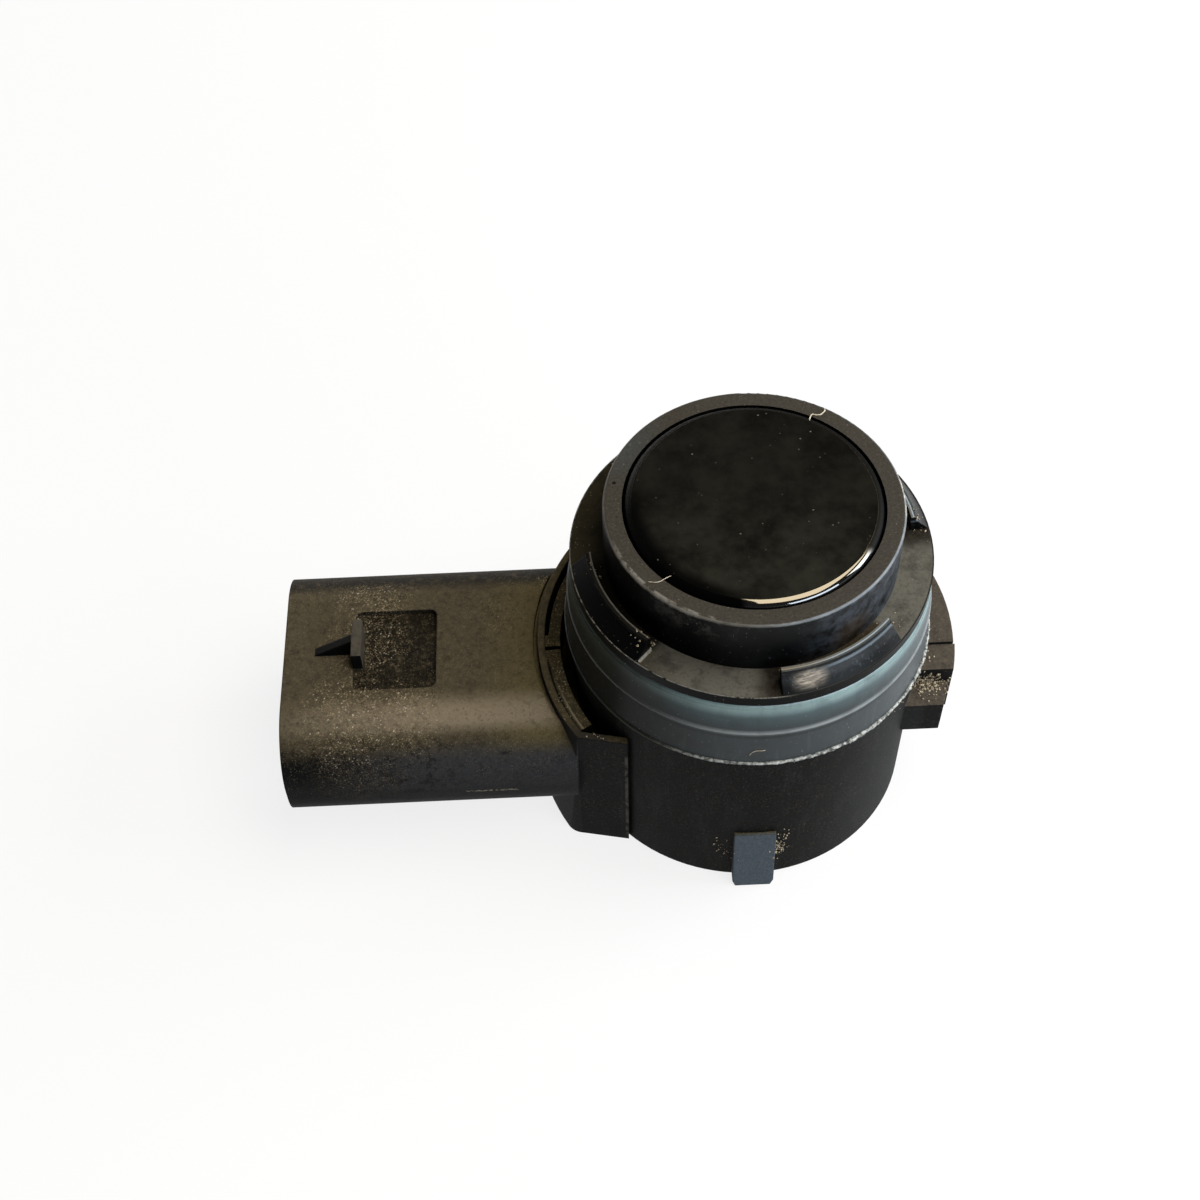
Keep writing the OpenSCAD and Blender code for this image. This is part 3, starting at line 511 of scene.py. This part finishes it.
def seal_silicone():
    """Translucent grey silicone, painted lighter and bluer towards its top edge, with painted highlights
    along the top edge and the ridge, painted shade under the ridge, and olive-tinted painted shade on the
    arm's side.
    """
    s = Shader("seal_silicone")
    cloud = s.noise(1.6, 3)
    fine = s.noise(0.22, 3)
    streak = s.noise(0.5, 3, 0.6, s.turned((0, 0, 0), (1, 1, 6)))
    # painted light: lighter and bluer from the ridge upwards
    colour = s.mix(s.fade(s.z, ridge_z + 0.05, ridge_z + 2.05), srgb(66, 71, 73), srgb(86, 103, 107))
    # painted light: a pale band near the top
    colour = s.mix(s.fade(s.z, seal_top - 1.35, seal_top - 0.45), colour, srgb(146, 168, 168))
    # painted highlight along the top edge, on the right
    top_edge_highlight = s.times(s.fade(s.z, seal_top - 0.29, seal_top - 0.15), s.fade(s.x, -3.0, 1.0))
    colour = s.mix(s.times(top_edge_highlight, 0.8), colour, srgb(206, 226, 230))
    # painted highlight along the ridge
    ridge_highlight = s.span(s.z, ridge_z - 0.15, ridge_z + 0.21, 0.16)
    colour = s.mix(s.times(ridge_highlight, 0.6), colour, srgb(166, 171, 172))
    # painted shade just under the ridge
    below = s.span(s.z, ridge_z - 0.5, ridge_z - 0.3, 0.1)
    colour = s.mix(s.times(below, 0.5), colour, srgb(44, 45, 45))
    colour = s.mix(s.times(s.fade(cloud, 0.45, 0.75), 0.3), colour, srgb(48, 49, 47))
    colour = s.mix(s.times(s.fade(streak, 0.5, 0.75), 0.3), colour, srgb(94, 99, 100))
    colour = s.mix(s.times(s.fade(s.x, 4.0, 9.0), 0.25), colour, srgb(58, 68, 72))
    # painted shade with an olive tint on the arm's side, away from the light on the right
    painted_left_shade = s.times(s.fade(s.x, -1.5, -8.8), s.fade(s.x, -13.0, -11.0),
                    s.blend(s.fade(s.z, ridge_z - 0.55, ridge_z + 0.65), 0.95, 0.93))
    olive = s.mix(s.fade(s.z, ridge_z - 0.15, seal_top - 0.45), srgb(25, 25, 22), srgb(44, 45, 37))
    colour = s.mix(painted_left_shade, colour, olive)
    # painted highlight along the ridge on the left
    ridge = s.times(s.span(s.z, ridge_z - 0.08, ridge_z + 0.07, 0.06), s.fade(s.x, -5.0, -8.0), 0.5)
    colour = s.mix(ridge, colour, srgb(112, 112, 106))
    colour = s.mix(s.times(s.flecks(0.13, 0.04), 0.4), colour, srgb(180, 180, 174))
    s.set(Base_Color=colour, Specular_IOR_Level=s.blend(painted_left_shade, 0.1, 0.03))
    s.set(Roughness=s.blend(fine, 0.28, 0.42))
    s.set(Subsurface_Weight=0.15, Subsurface_Radius=(0.6, 0.75, 0.8), Subsurface_Scale=MM)
    s.relief(fine, 0.015, 0.4)
    return s.material


def ring_side(s, scuff, left):
    """Dark satin side of the ring, with a painted sheen on the right, painted shade on the left, and chafed
    in front on the left.
    """
    # painted sheen of light from the right, broken up by the scuff noise
    sheen_and_rub = s.times(s.fade(scuff, 0.3, 0.7), s.fade(s.x, 1.0, 5.5), s.fade(s.y, 5.0, -4.0))
    side = s.mix(s.times(s.fade(scuff, 0.5, 0.72), 0.2), srgb(8, 9, 10), srgb(40, 43, 48))
    side = s.mix(s.times(sheen_and_rub, 0.9), side, srgb(72, 77, 84))
    # painted shade on the left side
    side = s.mix(left, side, srgb(3, 3, 3))
    chafe = s.times(s.fade(scuff, 0.46, 0.62), s.span(s.x, -6.4, -2.2, 1.0), s.fade(s.y, -2.0, -4.0),
                    s.fade(s.z, ring_top - 2.4, ring_top - 0.6))
    side = s.mix(s.times(chafe, 0.7), side, srgb(62, 60, 56))
    stain = s.times(s.near((5.2, -7.3, ring_top - 3.1), 0.5, 1.5), s.blend(scuff, 0.3, 1.0))
    return s.mix(s.times(stain, 0.8), side, srgb(60, 46, 27))


def ring_edge(s, colour, grain, cloud, scuff):
    """Thin pale outer edge of the ring's face, worn and with a painted highlight that is cooler on the right,
    frayed in front on the left and torn on the right.
    """
    # edge wear and a painted highlight, cooler towards the right
    edge = s.times(s.span(s.radius, neck_r - 0.12, neck_r - 0.01, 0.03),
                   s.fade(s.z, ring_top - 0.24, ring_top - 0.12), s.blend(cloud, 0.1, 1.0))
    warm_to_cool = s.mix(s.fade(s.x, -2.0, 3.0), srgb(134, 130, 122), srgb(160, 166, 172))
    colour = s.mix(s.times(edge, 0.85), colour, warm_to_cool)
    frayed = s.times(s.span(s.radius, neck_r - 0.26, neck_r - 0.01, 0.06), s.fade(scuff, 0.42, 0.56),
                     s.fade(s.y, -2.0, -4.0), s.fade(s.x, -1.0, -3.5),
                     s.fade(s.z, ring_top - 0.3, ring_top - 0.15))
    colour = s.mix(s.times(frayed, 0.85), colour, srgb(128, 124, 116))
    torn = s.times(s.fade(s.radius, neck_r - 0.14, neck_r - 0.06),
                   s.fade(s.z, ring_top - 0.7, ring_top - 0.4),
                   s.near((neck_r - 0.02, 0.2, ring_top - 0.2), 1.4, 0.6), s.fade(grain, 0.44, 0.56))
    return s.mix(s.times(torn, 0.9), colour, srgb(196, 188, 174))


def ring_rubber():
    """Soft ring: dull warm grey face with a worn edge and a painted highlight on it, and a dark satin side
    with scuffs, a painted sheen on the right and painted shade on the left.
    """
    s = Shader("ring_rubber")
    grain = s.noise(0.18, 5, 0.75)
    cloud = s.noise(1.4, 4, 0.65)
    scuff = s.noise(0.8, 5, 0.7)
    left = s.fade(s.x, -1.5, -4.5)
    face = s.times(s.fade(s.nz, 0.7, 0.97), s.fade(s.z, ring_top - 0.4, ring_top - 0.1))
    colour = s.mix(s.times(face, s.blend(cloud, 0.85, 1.05)), ring_side(s, scuff, left), srgb(62, 58, 51))
    far_left = s.times(face, s.fade(s.x, -4.0, -8.0), s.fade(s.y, 1.0, 5.0))
    colour = s.mix(s.times(far_left, 0.6), colour, srgb(64, 68, 70))
    colour = s.mix(s.times(face, s.fade(grain, 0.5, 0.75), 0.45), colour, srgb(94, 90, 81))
    colour = s.mix(s.times(face, s.fade(grain, 0.5, 0.25), 0.6), colour, srgb(32, 30, 26))
    colour = ring_edge(s, colour, grain, cloud, scuff)
    colour = s.mix(s.times(s.near((-8.21, 2.02, ring_top), 0.09, 0.06), 0.9), colour, srgb(12, 11, 10))
    colour = s.mix(s.times(s.flecks(0.12, 0.03), 0.35), colour, srgb(160, 155, 140))
    s.set(Base_Color=colour, Specular_IOR_Level=s.blend(left, 0.1, 0.03), Roughness=s.blend(face, 0.4, 0.8))
    s.relief(grain, 0.02, 0.4)
    return s.material


def rounded_normal(s):
    """Normal of the pot's rounded edge, worked out from the radius so that reflections stay smooth."""
    node = s.add("ShaderNodeMapRange")
    s.put(node.inputs["Value"], s.radius)
    node.inputs["From Min"].default_value = pot_flat_r
    node.inputs["From Max"].default_value = pot_r
    lean = node.outputs["Result"]
    spoke = s.math("DIVIDE", lean, s.radius)
    rise = s.math("SQRT", s.math("SUBTRACT", 1.0, s.times(lean, lean)))
    normal = s.add("ShaderNodeCombineXYZ")
    for socket, value in zip(normal.inputs, (s.times(s.x, spoke), s.times(s.y, spoke), rise)):
        s.put(socket, value)
    return normal.outputs[0]


def gloss_paint():
    """Gloss black paint with a faint haze and specks of dust, painted shade towards the front left of its
    face, dull on the far part of its rounded edge.
    """
    s = Shader("gloss_paint")
    cloud = s.noise(2.2, 5, 0.65)
    face = s.fade(s.radius, pot_flat_r + 0.08, pot_flat_r - 0.02)
    far_edge = s.times(s.fade(s.nz, 0.999, 0.98), s.fade(s.y, -4.5, -3.7))
    dull = s.most(far_edge, s.fade(s.nz, 0.56, 0.42))
    haze = s.mix(s.fade(s.y, 3.0, -6.0), srgb(29, 28, 24), srgb(40, 39, 33))
    haze = s.mix(s.fade(cloud, 0.25, 0.75), srgb(14, 13, 11), haze)
    colour = s.mix(face, srgb(3, 3, 3), haze)
    near_left = s.fade(s.y, 3.0, -1.0)
    # painted shade: the face goes near black towards its front left edge
    shade = s.times(s.fade(s.radius, pot_flat_r - 1.02, pot_flat_r - 0.12), s.fade(s.x, 1.0, -3.0), near_left)
    colour = s.mix(s.times(shade, 0.9), colour, srgb(4, 4, 4))
    specks = s.times(s.flecks(0.17, 0.0025), face)
    colour = s.mix(s.times(specks, 0.6), colour, srgb(170, 166, 156))
    unlit = s.times(s.fade(s.radius, pot_flat_r - 0.82, pot_flat_r - 0.02), s.fade(s.x, -0.9, -1.5),
                    near_left)
    level = s.blend(unlit, s.blend(face, s.blend(dull, 1.0, 0.06), 0.1), 0.01)
    s.set(Base_Color=colour, IOR=1.8, Specular_IOR_Level=level, Roughness=s.blend(dull, 0.05, 0.6))
    s.set(Specular_Tint=s.mix(s.fade(s.nz, 0.7, 0.84), (1, 1, 1, 1), (1.0, 0.88, 0.66, 1)))
    s.relief(cloud, 0.002, 0.2, rounded_normal(s))
    return s.material


def plain(name, light, dark, size, rough, metal=0.0, depth=0.02, level=0.5):
    """Mottled material for the pieces inside."""
    s = Shader(name)
    mottle = s.noise(size, 4, 0.6)
    s.set(Base_Color=s.mix(s.fade(mottle, 0.35, 0.65), srgb(*dark), srgb(*light)))
    s.set(Metallic=metal, Specular_IOR_Level=level, Roughness=s.blend(mottle, rough - 0.08, rough + 0.08))
    s.relief(mottle, depth, 0.5)
    return s.material


black = moulded_black()
looks = {
    "housing": black,
    "rear_cover": black,
    "lug_collar": collar_black(),
    "seal_ring": seal_silicone(),
    "decoupling_ring": ring_rubber(),
    "membrane_pot": gloss_paint(),
    "piezo_disc": plain("silvered_ceramic", (205, 200, 188), (176, 170, 158), 0.3, 0.45, 0.3),
    "damping_foam": plain("foam", (70, 70, 74), (38, 38, 41), 0.25, 0.9, depth=0.08, level=0.2),
    "contact_carrier": plain("carrier_plastic", (34, 34, 35), (24, 24, 25), 0.3, 0.55, level=0.3),
    "circuit_board": plain("solder_resist", (30, 96, 58), (20, 74, 44), 0.6, 0.4),
    "transformer_core": plain("ferrite", (62, 58, 57), (44, 41, 41), 0.2, 0.6, level=0.3),
    "transformer_winding": plain("enamelled_copper", (190, 104, 58), (146, 72, 36), 0.12, 0.35, 0.7),
    "storage_capacitor": plain("capacitor_case", (196, 154, 66), (176, 132, 50), 0.4, 0.5),
    "ceramic_capacitors": plain("capacitor_chips", (160, 128, 92), (138, 108, 76), 0.3, 0.55),
    "potting_compound": plain("potting", (46, 47, 51), (34, 35, 38), 0.9, 0.35, level=0.4),
}
epoxy = plain("moulded_epoxy", (30, 30, 31), (20, 20, 21), 0.3, 0.5, level=0.35)
for name in ("driver_chip", "protection_diode", "resistors", "transformer_base"):
    looks[name] = epoxy
tinned = plain("tinned_brass", (206, 196, 170), (176, 164, 134), 0.35, 0.3, 0.95, depth=0.01)
for name in ("signal_pin", "ground_pin", "signal_lead", "ground_lead", "supply_terminal", "signal_terminal",
             "ground_terminal"):
    looks[name] = tinned
for name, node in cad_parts.items():
    node.data.materials.clear()
    node.data.materials.append(looks[name])


# Loose dirt

def skin(node):
    """Search tree of a solid's surface."""
    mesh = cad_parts[node].data
    points = [v.co.copy() for v in mesh.vertices]
    return BVHTree.FromPolygons(points, [tuple(p.vertices) for p in mesh.polygons])


def piece(name, bm, material):
    """Object of a mesh that rides with the part."""
    mesh = bpy.data.meshes.new(name)
    bm.to_mesh(mesh)
    bm.free()
    for polygon in mesh.polygons:
        polygon.use_smooth = True
    mesh.materials.append(material)
    made = bpy.data.objects.new(name, mesh)
    bpy.context.scene.collection.objects.link(made)
    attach(made, BODY)


def pale_dirt():
    """Sandy grit, each lump a little different."""
    s = Shader("pale_dirt")
    mottle = s.noise(0.2, 3)
    fine = s.noise(0.05, 3)
    colour = s.mix(s.fade(mottle, 0.35, 0.65), srgb(112, 99, 78), srgb(206, 193, 168))
    s.set(Base_Color=s.mix(s.times(s.fade(fine, 0.5, 0.7), 0.5), colour, srgb(60, 52, 38)))
    s.set(Roughness=s.blend(fine, 0.6, 0.9), Specular_IOR_Level=0.3)
    s.relief(fine, 0.02, 0.6)
    return s.material


def pale_thread(name, light, dark, left_shade_colour=None):
    """Lint or flash with a faint mottle, and with painted shade in another colour on the arm's side if one is
    given.
    """
    s = Shader(name)
    mottle = s.noise(0.25, 3)
    colour = s.mix(s.fade(mottle, 0.35, 0.65), srgb(*dark), srgb(*light))
    if left_shade_colour:
        # painted shade on the arm's side
        colour = s.mix(s.fade(s.x, -2.0, -7.0), colour, srgb(*left_shade_colour))
    s.set(Base_Color=colour, Roughness=s.blend(mottle, 0.5, 0.7), Specular_IOR_Level=0.3)
    s.relief(mottle, 0.01, 0.5)
    return s.material


def lump(bm, dice, place, size):
    """Small uneven grain."""
    turn = Euler([dice.uniform(0, 6.28) for _ in range(3)]).to_matrix().to_4x4()
    stretch = Matrix.Diagonal((dice.uniform(0.6, 1.3), dice.uniform(0.6, 1.1), dice.uniform(0.4, 0.9), 1))
    matrix = Matrix.Translation(place) @ turn @ stretch
    made = bmesh.ops.create_icosphere(bm, subdivisions=1, radius=size, matrix=matrix)
    for vert in made["verts"]:
        vert.co += (vert.co - place) * dice.uniform(-0.25, 0.3)


def grit(name, tree, patches, seed):
    """Grains that lie where rays meet a solid.

    A patch is its middle, the rays' direction, the spread, the count, and the least and greatest grain.
    """
    dice = random.Random(seed)
    bm = bmesh.new()
    run_up = 4
    ray_length = 9
    for middle, direction, spread, count, small, large in patches:
        towards = Vector(direction)
        for _ in range(count):
            start = Vector(middle) + Vector([dice.gauss(0, w) for w in spread])
            place, normal, _, _ = tree.ray_cast((start - towards * run_up) * MM, towards, ray_length * MM)
            if not place:
                continue
            size = dice.uniform(small, large) * dice.uniform(0.5, 1.0) * MM
            lump(bm, dice, place + normal * size * 0.25, size)
    piece(name, bm, pale_dirt())


def smooth_path(points, steps):
    """Points along a smooth curve through the given ones."""
    path = [Vector(p) for p in points]
    smooth = []
    for i in range(len(path) - 1):
        here, there = path[i], path[i + 1]
        before, after = path[max(i - 1, 0)], path[min(i + 2, len(path) - 1)]
        smooth += geometry.interpolate_bezier(
            here, here + (there - before) / 6, there - (after - here) / 6, there, steps + 1)[:steps]
    return smooth + [path[-1]]


def thread(name, base, points, width, material):
    """Thin round fibre, finer at its ends, through points that are given by x, y and height over a base."""
    path = smooth_path([(x, y, base + height) for x, y, height in points], 6)
    last = len(path) - 1
    sides = 7
    turns = [math.tau * k / sides for k in range(sides)]
    bm = bmesh.new()
    rows = []
    for i, point in enumerate(path):
        ahead = (path[min(i + 1, last)] - path[max(i - 1, 0)]).normalized()
        across = ahead.cross(Vector((0.1, 0.2, 1))).normalized()
        over = across.cross(ahead)
        reach = width / 2 * min(1.0, 0.45 + 0.55 * min(i, last - i) / 2)
        spokes = [across * math.cos(t) + over * math.sin(t) for t in turns]
        rows.append([bm.verts.new((point + spoke * reach) * MM) for spoke in spokes])
    for a, b in zip(rows, rows[1:]):
        for k in range(sides):
            bm.faces.new((a[k], a[(k + 1) % sides], b[(k + 1) % sides], b[k]))
    bm.faces.new(rows[0][::-1])
    bm.faces.new(rows[-1])
    piece(name, bm, material)


def ragged_flash(name, radius, foot, material):
    """Thin torn lip of flash round the foot of the seal, widest in front on the right."""
    bm = bmesh.new()
    steps = 1440
    tuck = 0.08
    widest = math.radians(-50)
    rows = []
    for i in range(steps):
        t = math.tau * i / steps
        spot = Vector((math.cos(t), math.sin(t), 0))
        wave = (noise.noise(spot * 5) * 0.5 + 0.5) * (0.15 + 0.85 * max(0.0, math.cos(t - widest)))
        tear = noise.noise(spot * 38) * 0.5 + 0.5
        shred = max(0.0, noise.noise(spot * 90)) ** 2
        reach = radius + 0.02 + 0.24 * wave * tear + 0.3 * wave * shred
        thick = 0.04 + 0.22 * wave * tear
        low = foot + max(0.0, 0.16 * noise.noise(spot * 22) * wave)
        inner = radius - tuck
        ends = ((inner, foot), (reach, low), (reach - 0.02, low + thick), (inner, foot + thick + 0.06))
        rows.append([bm.verts.new((r * math.cos(t) * MM, r * math.sin(t) * MM, z * MM)) for r, z in ends])
    for i in range(steps):
        a, b = rows[i], rows[(i + 1) % steps]
        for k in range(4):
            bm.faces.new((a[k], b[k], b[(k + 1) % 4], a[(k + 1) % 4]))
    bmesh.ops.recalc_face_normals(bm, faces=bm.faces)
    piece(name, bm, material)


housing_skin = skin("housing")
collar_skin = skin("lug_collar")
down = (0, 0, -1)
inward = (0, 1, 0)
grit("clip_grit", housing_skin, [
    ((11.6, -3.7, flange_top - 1.5), (0, 0.7, -0.71), (0.55, 0.28, 0.35), 330, 0.045, 0.115),
    ((11.6, -2.6, flange_top - 0.3), down, (0.5, 0.4, 0), 14, 0.04, 0.09),
    ((11.2, -0.6, flange_top), down, (0.25, 0.5, 0), 18, 0.03, 0.08),
    ((9.4, -6.4, flange_top + 1.4), (-0.83, 0.56, 0), (0.3, 0.4, 0.8), 45, 0.03, 0.09),
], seed=11)
grit("trough_grit", housing_skin, [
    ((-9.9, -6.9, flange_top - 2.8), down, (0.5, 0.5, 0), 70, 0.04, 0.12),
    ((-12.0, -4.0, flange_top - 0.5), down, (0.35, 1.2, 0), 30, 0.03, 0.08),
], seed=12)
grit("tab_grit", housing_skin, [
    ((tab_half + 0.4, -body_r - 0.2, tab_top - 2.0), inward, (0.26, 0, 0.8), 80, 0.04, 0.11),
    ((-tab_half - 0.55, -body_r - 0.2, tab_top - 2.2), inward, (0.35, 0, 0.6), 26, 0.03, 0.08),
], seed=13)
grit("collar_grit", collar_skin, [
    ((-6.5, -6.9, ledge_top), down, (0.25, 0.25, 0), 12, 0.05, 0.12),
    ((-7.3, -7.0, lug_top - 0.2), down, (0.16, 0.25, 0), 9, 0.06, 0.13),
    ((-9.7, -1.7, lug_top), down, (0.3, 0.5, 0), 16, 0.04, 0.1),
    ((10.2, 1.2, lug_top - 0.6), down, (0.3, 0.5, 0), 16, 0.05, 0.11),
    ((7.9, -6.3, ledge_top), down, (0.5, 0.5, 0), 14, 0.04, 0.1),
], seed=14)
lint = pale_thread("lint", light=(214, 204, 184), dark=(176, 164, 140))
thread("lint_curl", ring_top, [
    (3.94, 6.12, 0.14), (3.98, 6.36, 0.15), (4.08, 6.62, 0.13), (4.2, 6.78, 0.08), (4.33, 6.76, 0.06),
    (4.47, 6.74, 0.05), (4.68, 6.76, 0.04), (4.87, 6.92, 0.03), (5.0, 7.1, 0.03), (4.99, 7.26, 0.02),
], width=0.085, material=lint)
thread("lint_hair", ring_top, [
    (-6.6, -5.5, 0.01), (-6.25, -5.57, 0.02), (-5.93, -5.55, 0.03), (-5.57, -5.36, 0.08),
    (-5.22, -5.24, 0.15),
], width=0.045, material=lint)
thread("seal_hair", seal_foot, [
    (-0.86, -11.44, 0.85), (-0.72, -11.43, 1.1), (-0.5, -11.42, 1.26), (-0.2, -11.42, 1.28),
    (0.1, -11.42, 1.3),
], width=0.05, material=lint)
torn_silicone = pale_thread("torn_silicone", light=(196, 198, 194), dark=(84, 86, 84), left_shade_colour=(40, 41, 35))
ragged_flash("seal_flash", seal_r + 0.08, seal_foot + 0.01, torn_silicone)


# Stage and light

def floor_paint():
    """White to the eye and in reflections, a grey that throws little light elsewhere, with a faint shadow."""
    material = bpy.data.materials.new("stage_floor")
    material.use_nodes = True
    tree = material.node_tree
    tree.nodes.clear()
    matte = tree.nodes.new("ShaderNodeBsdfDiffuse")
    tone = tree.nodes.new("ShaderNodeMix")
    tone.data_type = "RGBA"
    tone.inputs[6].default_value = (0.35, 0.35, 0.35, 1)
    tone.inputs[7].default_value = (0.9, 0.9, 0.9, 1)
    glow = tree.nodes.new("ShaderNodeEmission")
    glow.inputs["Strength"].default_value = 1
    path = tree.nodes.new("ShaderNodeLightPath")
    seen = tree.nodes.new("ShaderNodeMath")
    seen.operation = "MAXIMUM"
    mirrored = tree.nodes.new("ShaderNodeMath")
    mirrored.operation = "MAXIMUM"
    glow_share = tree.nodes.new("ShaderNodeMath")
    glow_share.operation = "MULTIPLY"
    glow_share.inputs[1].default_value = 0.8
    mix = tree.nodes.new("ShaderNodeMixShader")
    out = tree.nodes.new("ShaderNodeOutputMaterial")
    link = tree.links.new
    link(path.outputs["Is Glossy Ray"], mirrored.inputs[0])
    link(path.outputs["Is Transmission Ray"], mirrored.inputs[1])
    link(path.outputs["Is Camera Ray"], seen.inputs[0])
    link(mirrored.outputs[0], seen.inputs[1])
    link(seen.outputs[0], glow_share.inputs[0])
    link(seen.outputs[0], tone.inputs[0])
    link(tone.outputs[2], matte.inputs["Color"])
    link(glow_share.outputs[0], mix.inputs[0])
    link(matte.outputs[0], mix.inputs[1])
    link(glow.outputs[0], mix.inputs[2])
    link(mix.outputs[0], out.inputs["Surface"])
    return material


def stage_floor():
    """Wide floor under the part, 4 metres across."""
    mesh = bpy.data.meshes.new("floor")
    reach = 2.0
    outline = [(-reach, -reach, 0), (reach, -reach, 0), (reach, reach, 0), (-reach, reach, 0)]
    mesh.from_pydata(outline, [], [(0, 1, 2, 3)])
    floor = bpy.data.objects.new("floor", mesh)
    floor.location.z = cad_box[0][2]
    bpy.context.scene.collection.objects.link(floor)
    mesh.materials.append(floor_paint())


def area_light(name, size, watts, colour):
    """Rectangular light that faces straight down, sizes in metres."""
    data = bpy.data.lights.new(name, "AREA")
    data.shape = "RECTANGLE"
    data.size, data.size_y = size
    data.energy = watts
    data.color = colour
    lamp = bpy.data.objects.new(name, data)
    bpy.context.scene.collection.objects.link(lamp)
    return lamp


def softbox(name, azimuth, elevation, distance, size, watts, colour):
    """Light aimed at the object from a direction, with azimuth 0 in front and 90 on the right."""
    a, e = math.radians(azimuth), math.radians(elevation)
    towards = Vector((math.sin(a) * math.cos(e), -math.cos(a) * math.cos(e), math.sin(e)))
    aim = Vector((0, 0, 0.015))
    lamp = area_light(name, size, watts, colour)
    lamp.location = aim + towards * distance
    lamp.rotation_euler = towards.to_track_quat("Z", "Y").to_euler()


def studio_world():
    """Pale at the horizon and below, dim overhead, and plain white behind the object."""
    world = bpy.data.worlds.new("studio")
    bpy.context.scene.world = world
    world.use_nodes = True
    tree = world.node_tree
    sky = tree.nodes["Background"]
    place = tree.nodes.new("ShaderNodeTexCoord")
    split = tree.nodes.new("ShaderNodeSeparateXYZ")
    ramp = tree.nodes.new("ShaderNodeMapRange")
    ramp.interpolation_type = "SMOOTHSTEP"
    ramp.inputs["From Min"].default_value = 0.0
    ramp.inputs["From Max"].default_value = 0.32
    ramp.inputs["To Min"].default_value = 0.6
    ramp.inputs["To Max"].default_value = 0.05
    tree.links.new(place.outputs["Generated"], split.inputs[0])
    tree.links.new(split.outputs["Z"], ramp.inputs["Value"])
    path = tree.nodes.new("ShaderNodeLightPath")
    seen = tree.nodes.new("ShaderNodeMix")
    seen.inputs[3].default_value = 1.0
    tree.links.new(path.outputs["Is Camera Ray"], seen.inputs[0])
    tree.links.new(ramp.outputs["Result"], seen.inputs[2])
    tree.links.new(seen.outputs[0], sky.inputs["Strength"])
    sky.inputs["Color"].default_value = (1, 1, 1, 1)


stage_floor()
studio_world()
overhead = area_light("overhead", size=(0.27, 0.36), watts=1.4, colour=(1.0, 0.94, 0.84))
overhead.location = (0.145, -0.03, 0.37)
softbox("window", azimuth=42, elevation=18, distance=0.36, size=(0.24, 0.11), watts=0.5,
        colour=(0.78, 0.89, 1.0))
softbox("side", azimuth=98, elevation=24, distance=0.36, size=(0.24, 0.20), watts=1.3,
        colour=(0.88, 0.94, 1.0))
softbox("back", azimuth=210, elevation=9, distance=0.40, size=(0.40, 0.12), watts=0.75,
        colour=(1.0, 0.98, 0.95))
bpy.context.scene.view_settings.view_transform = "Standard"
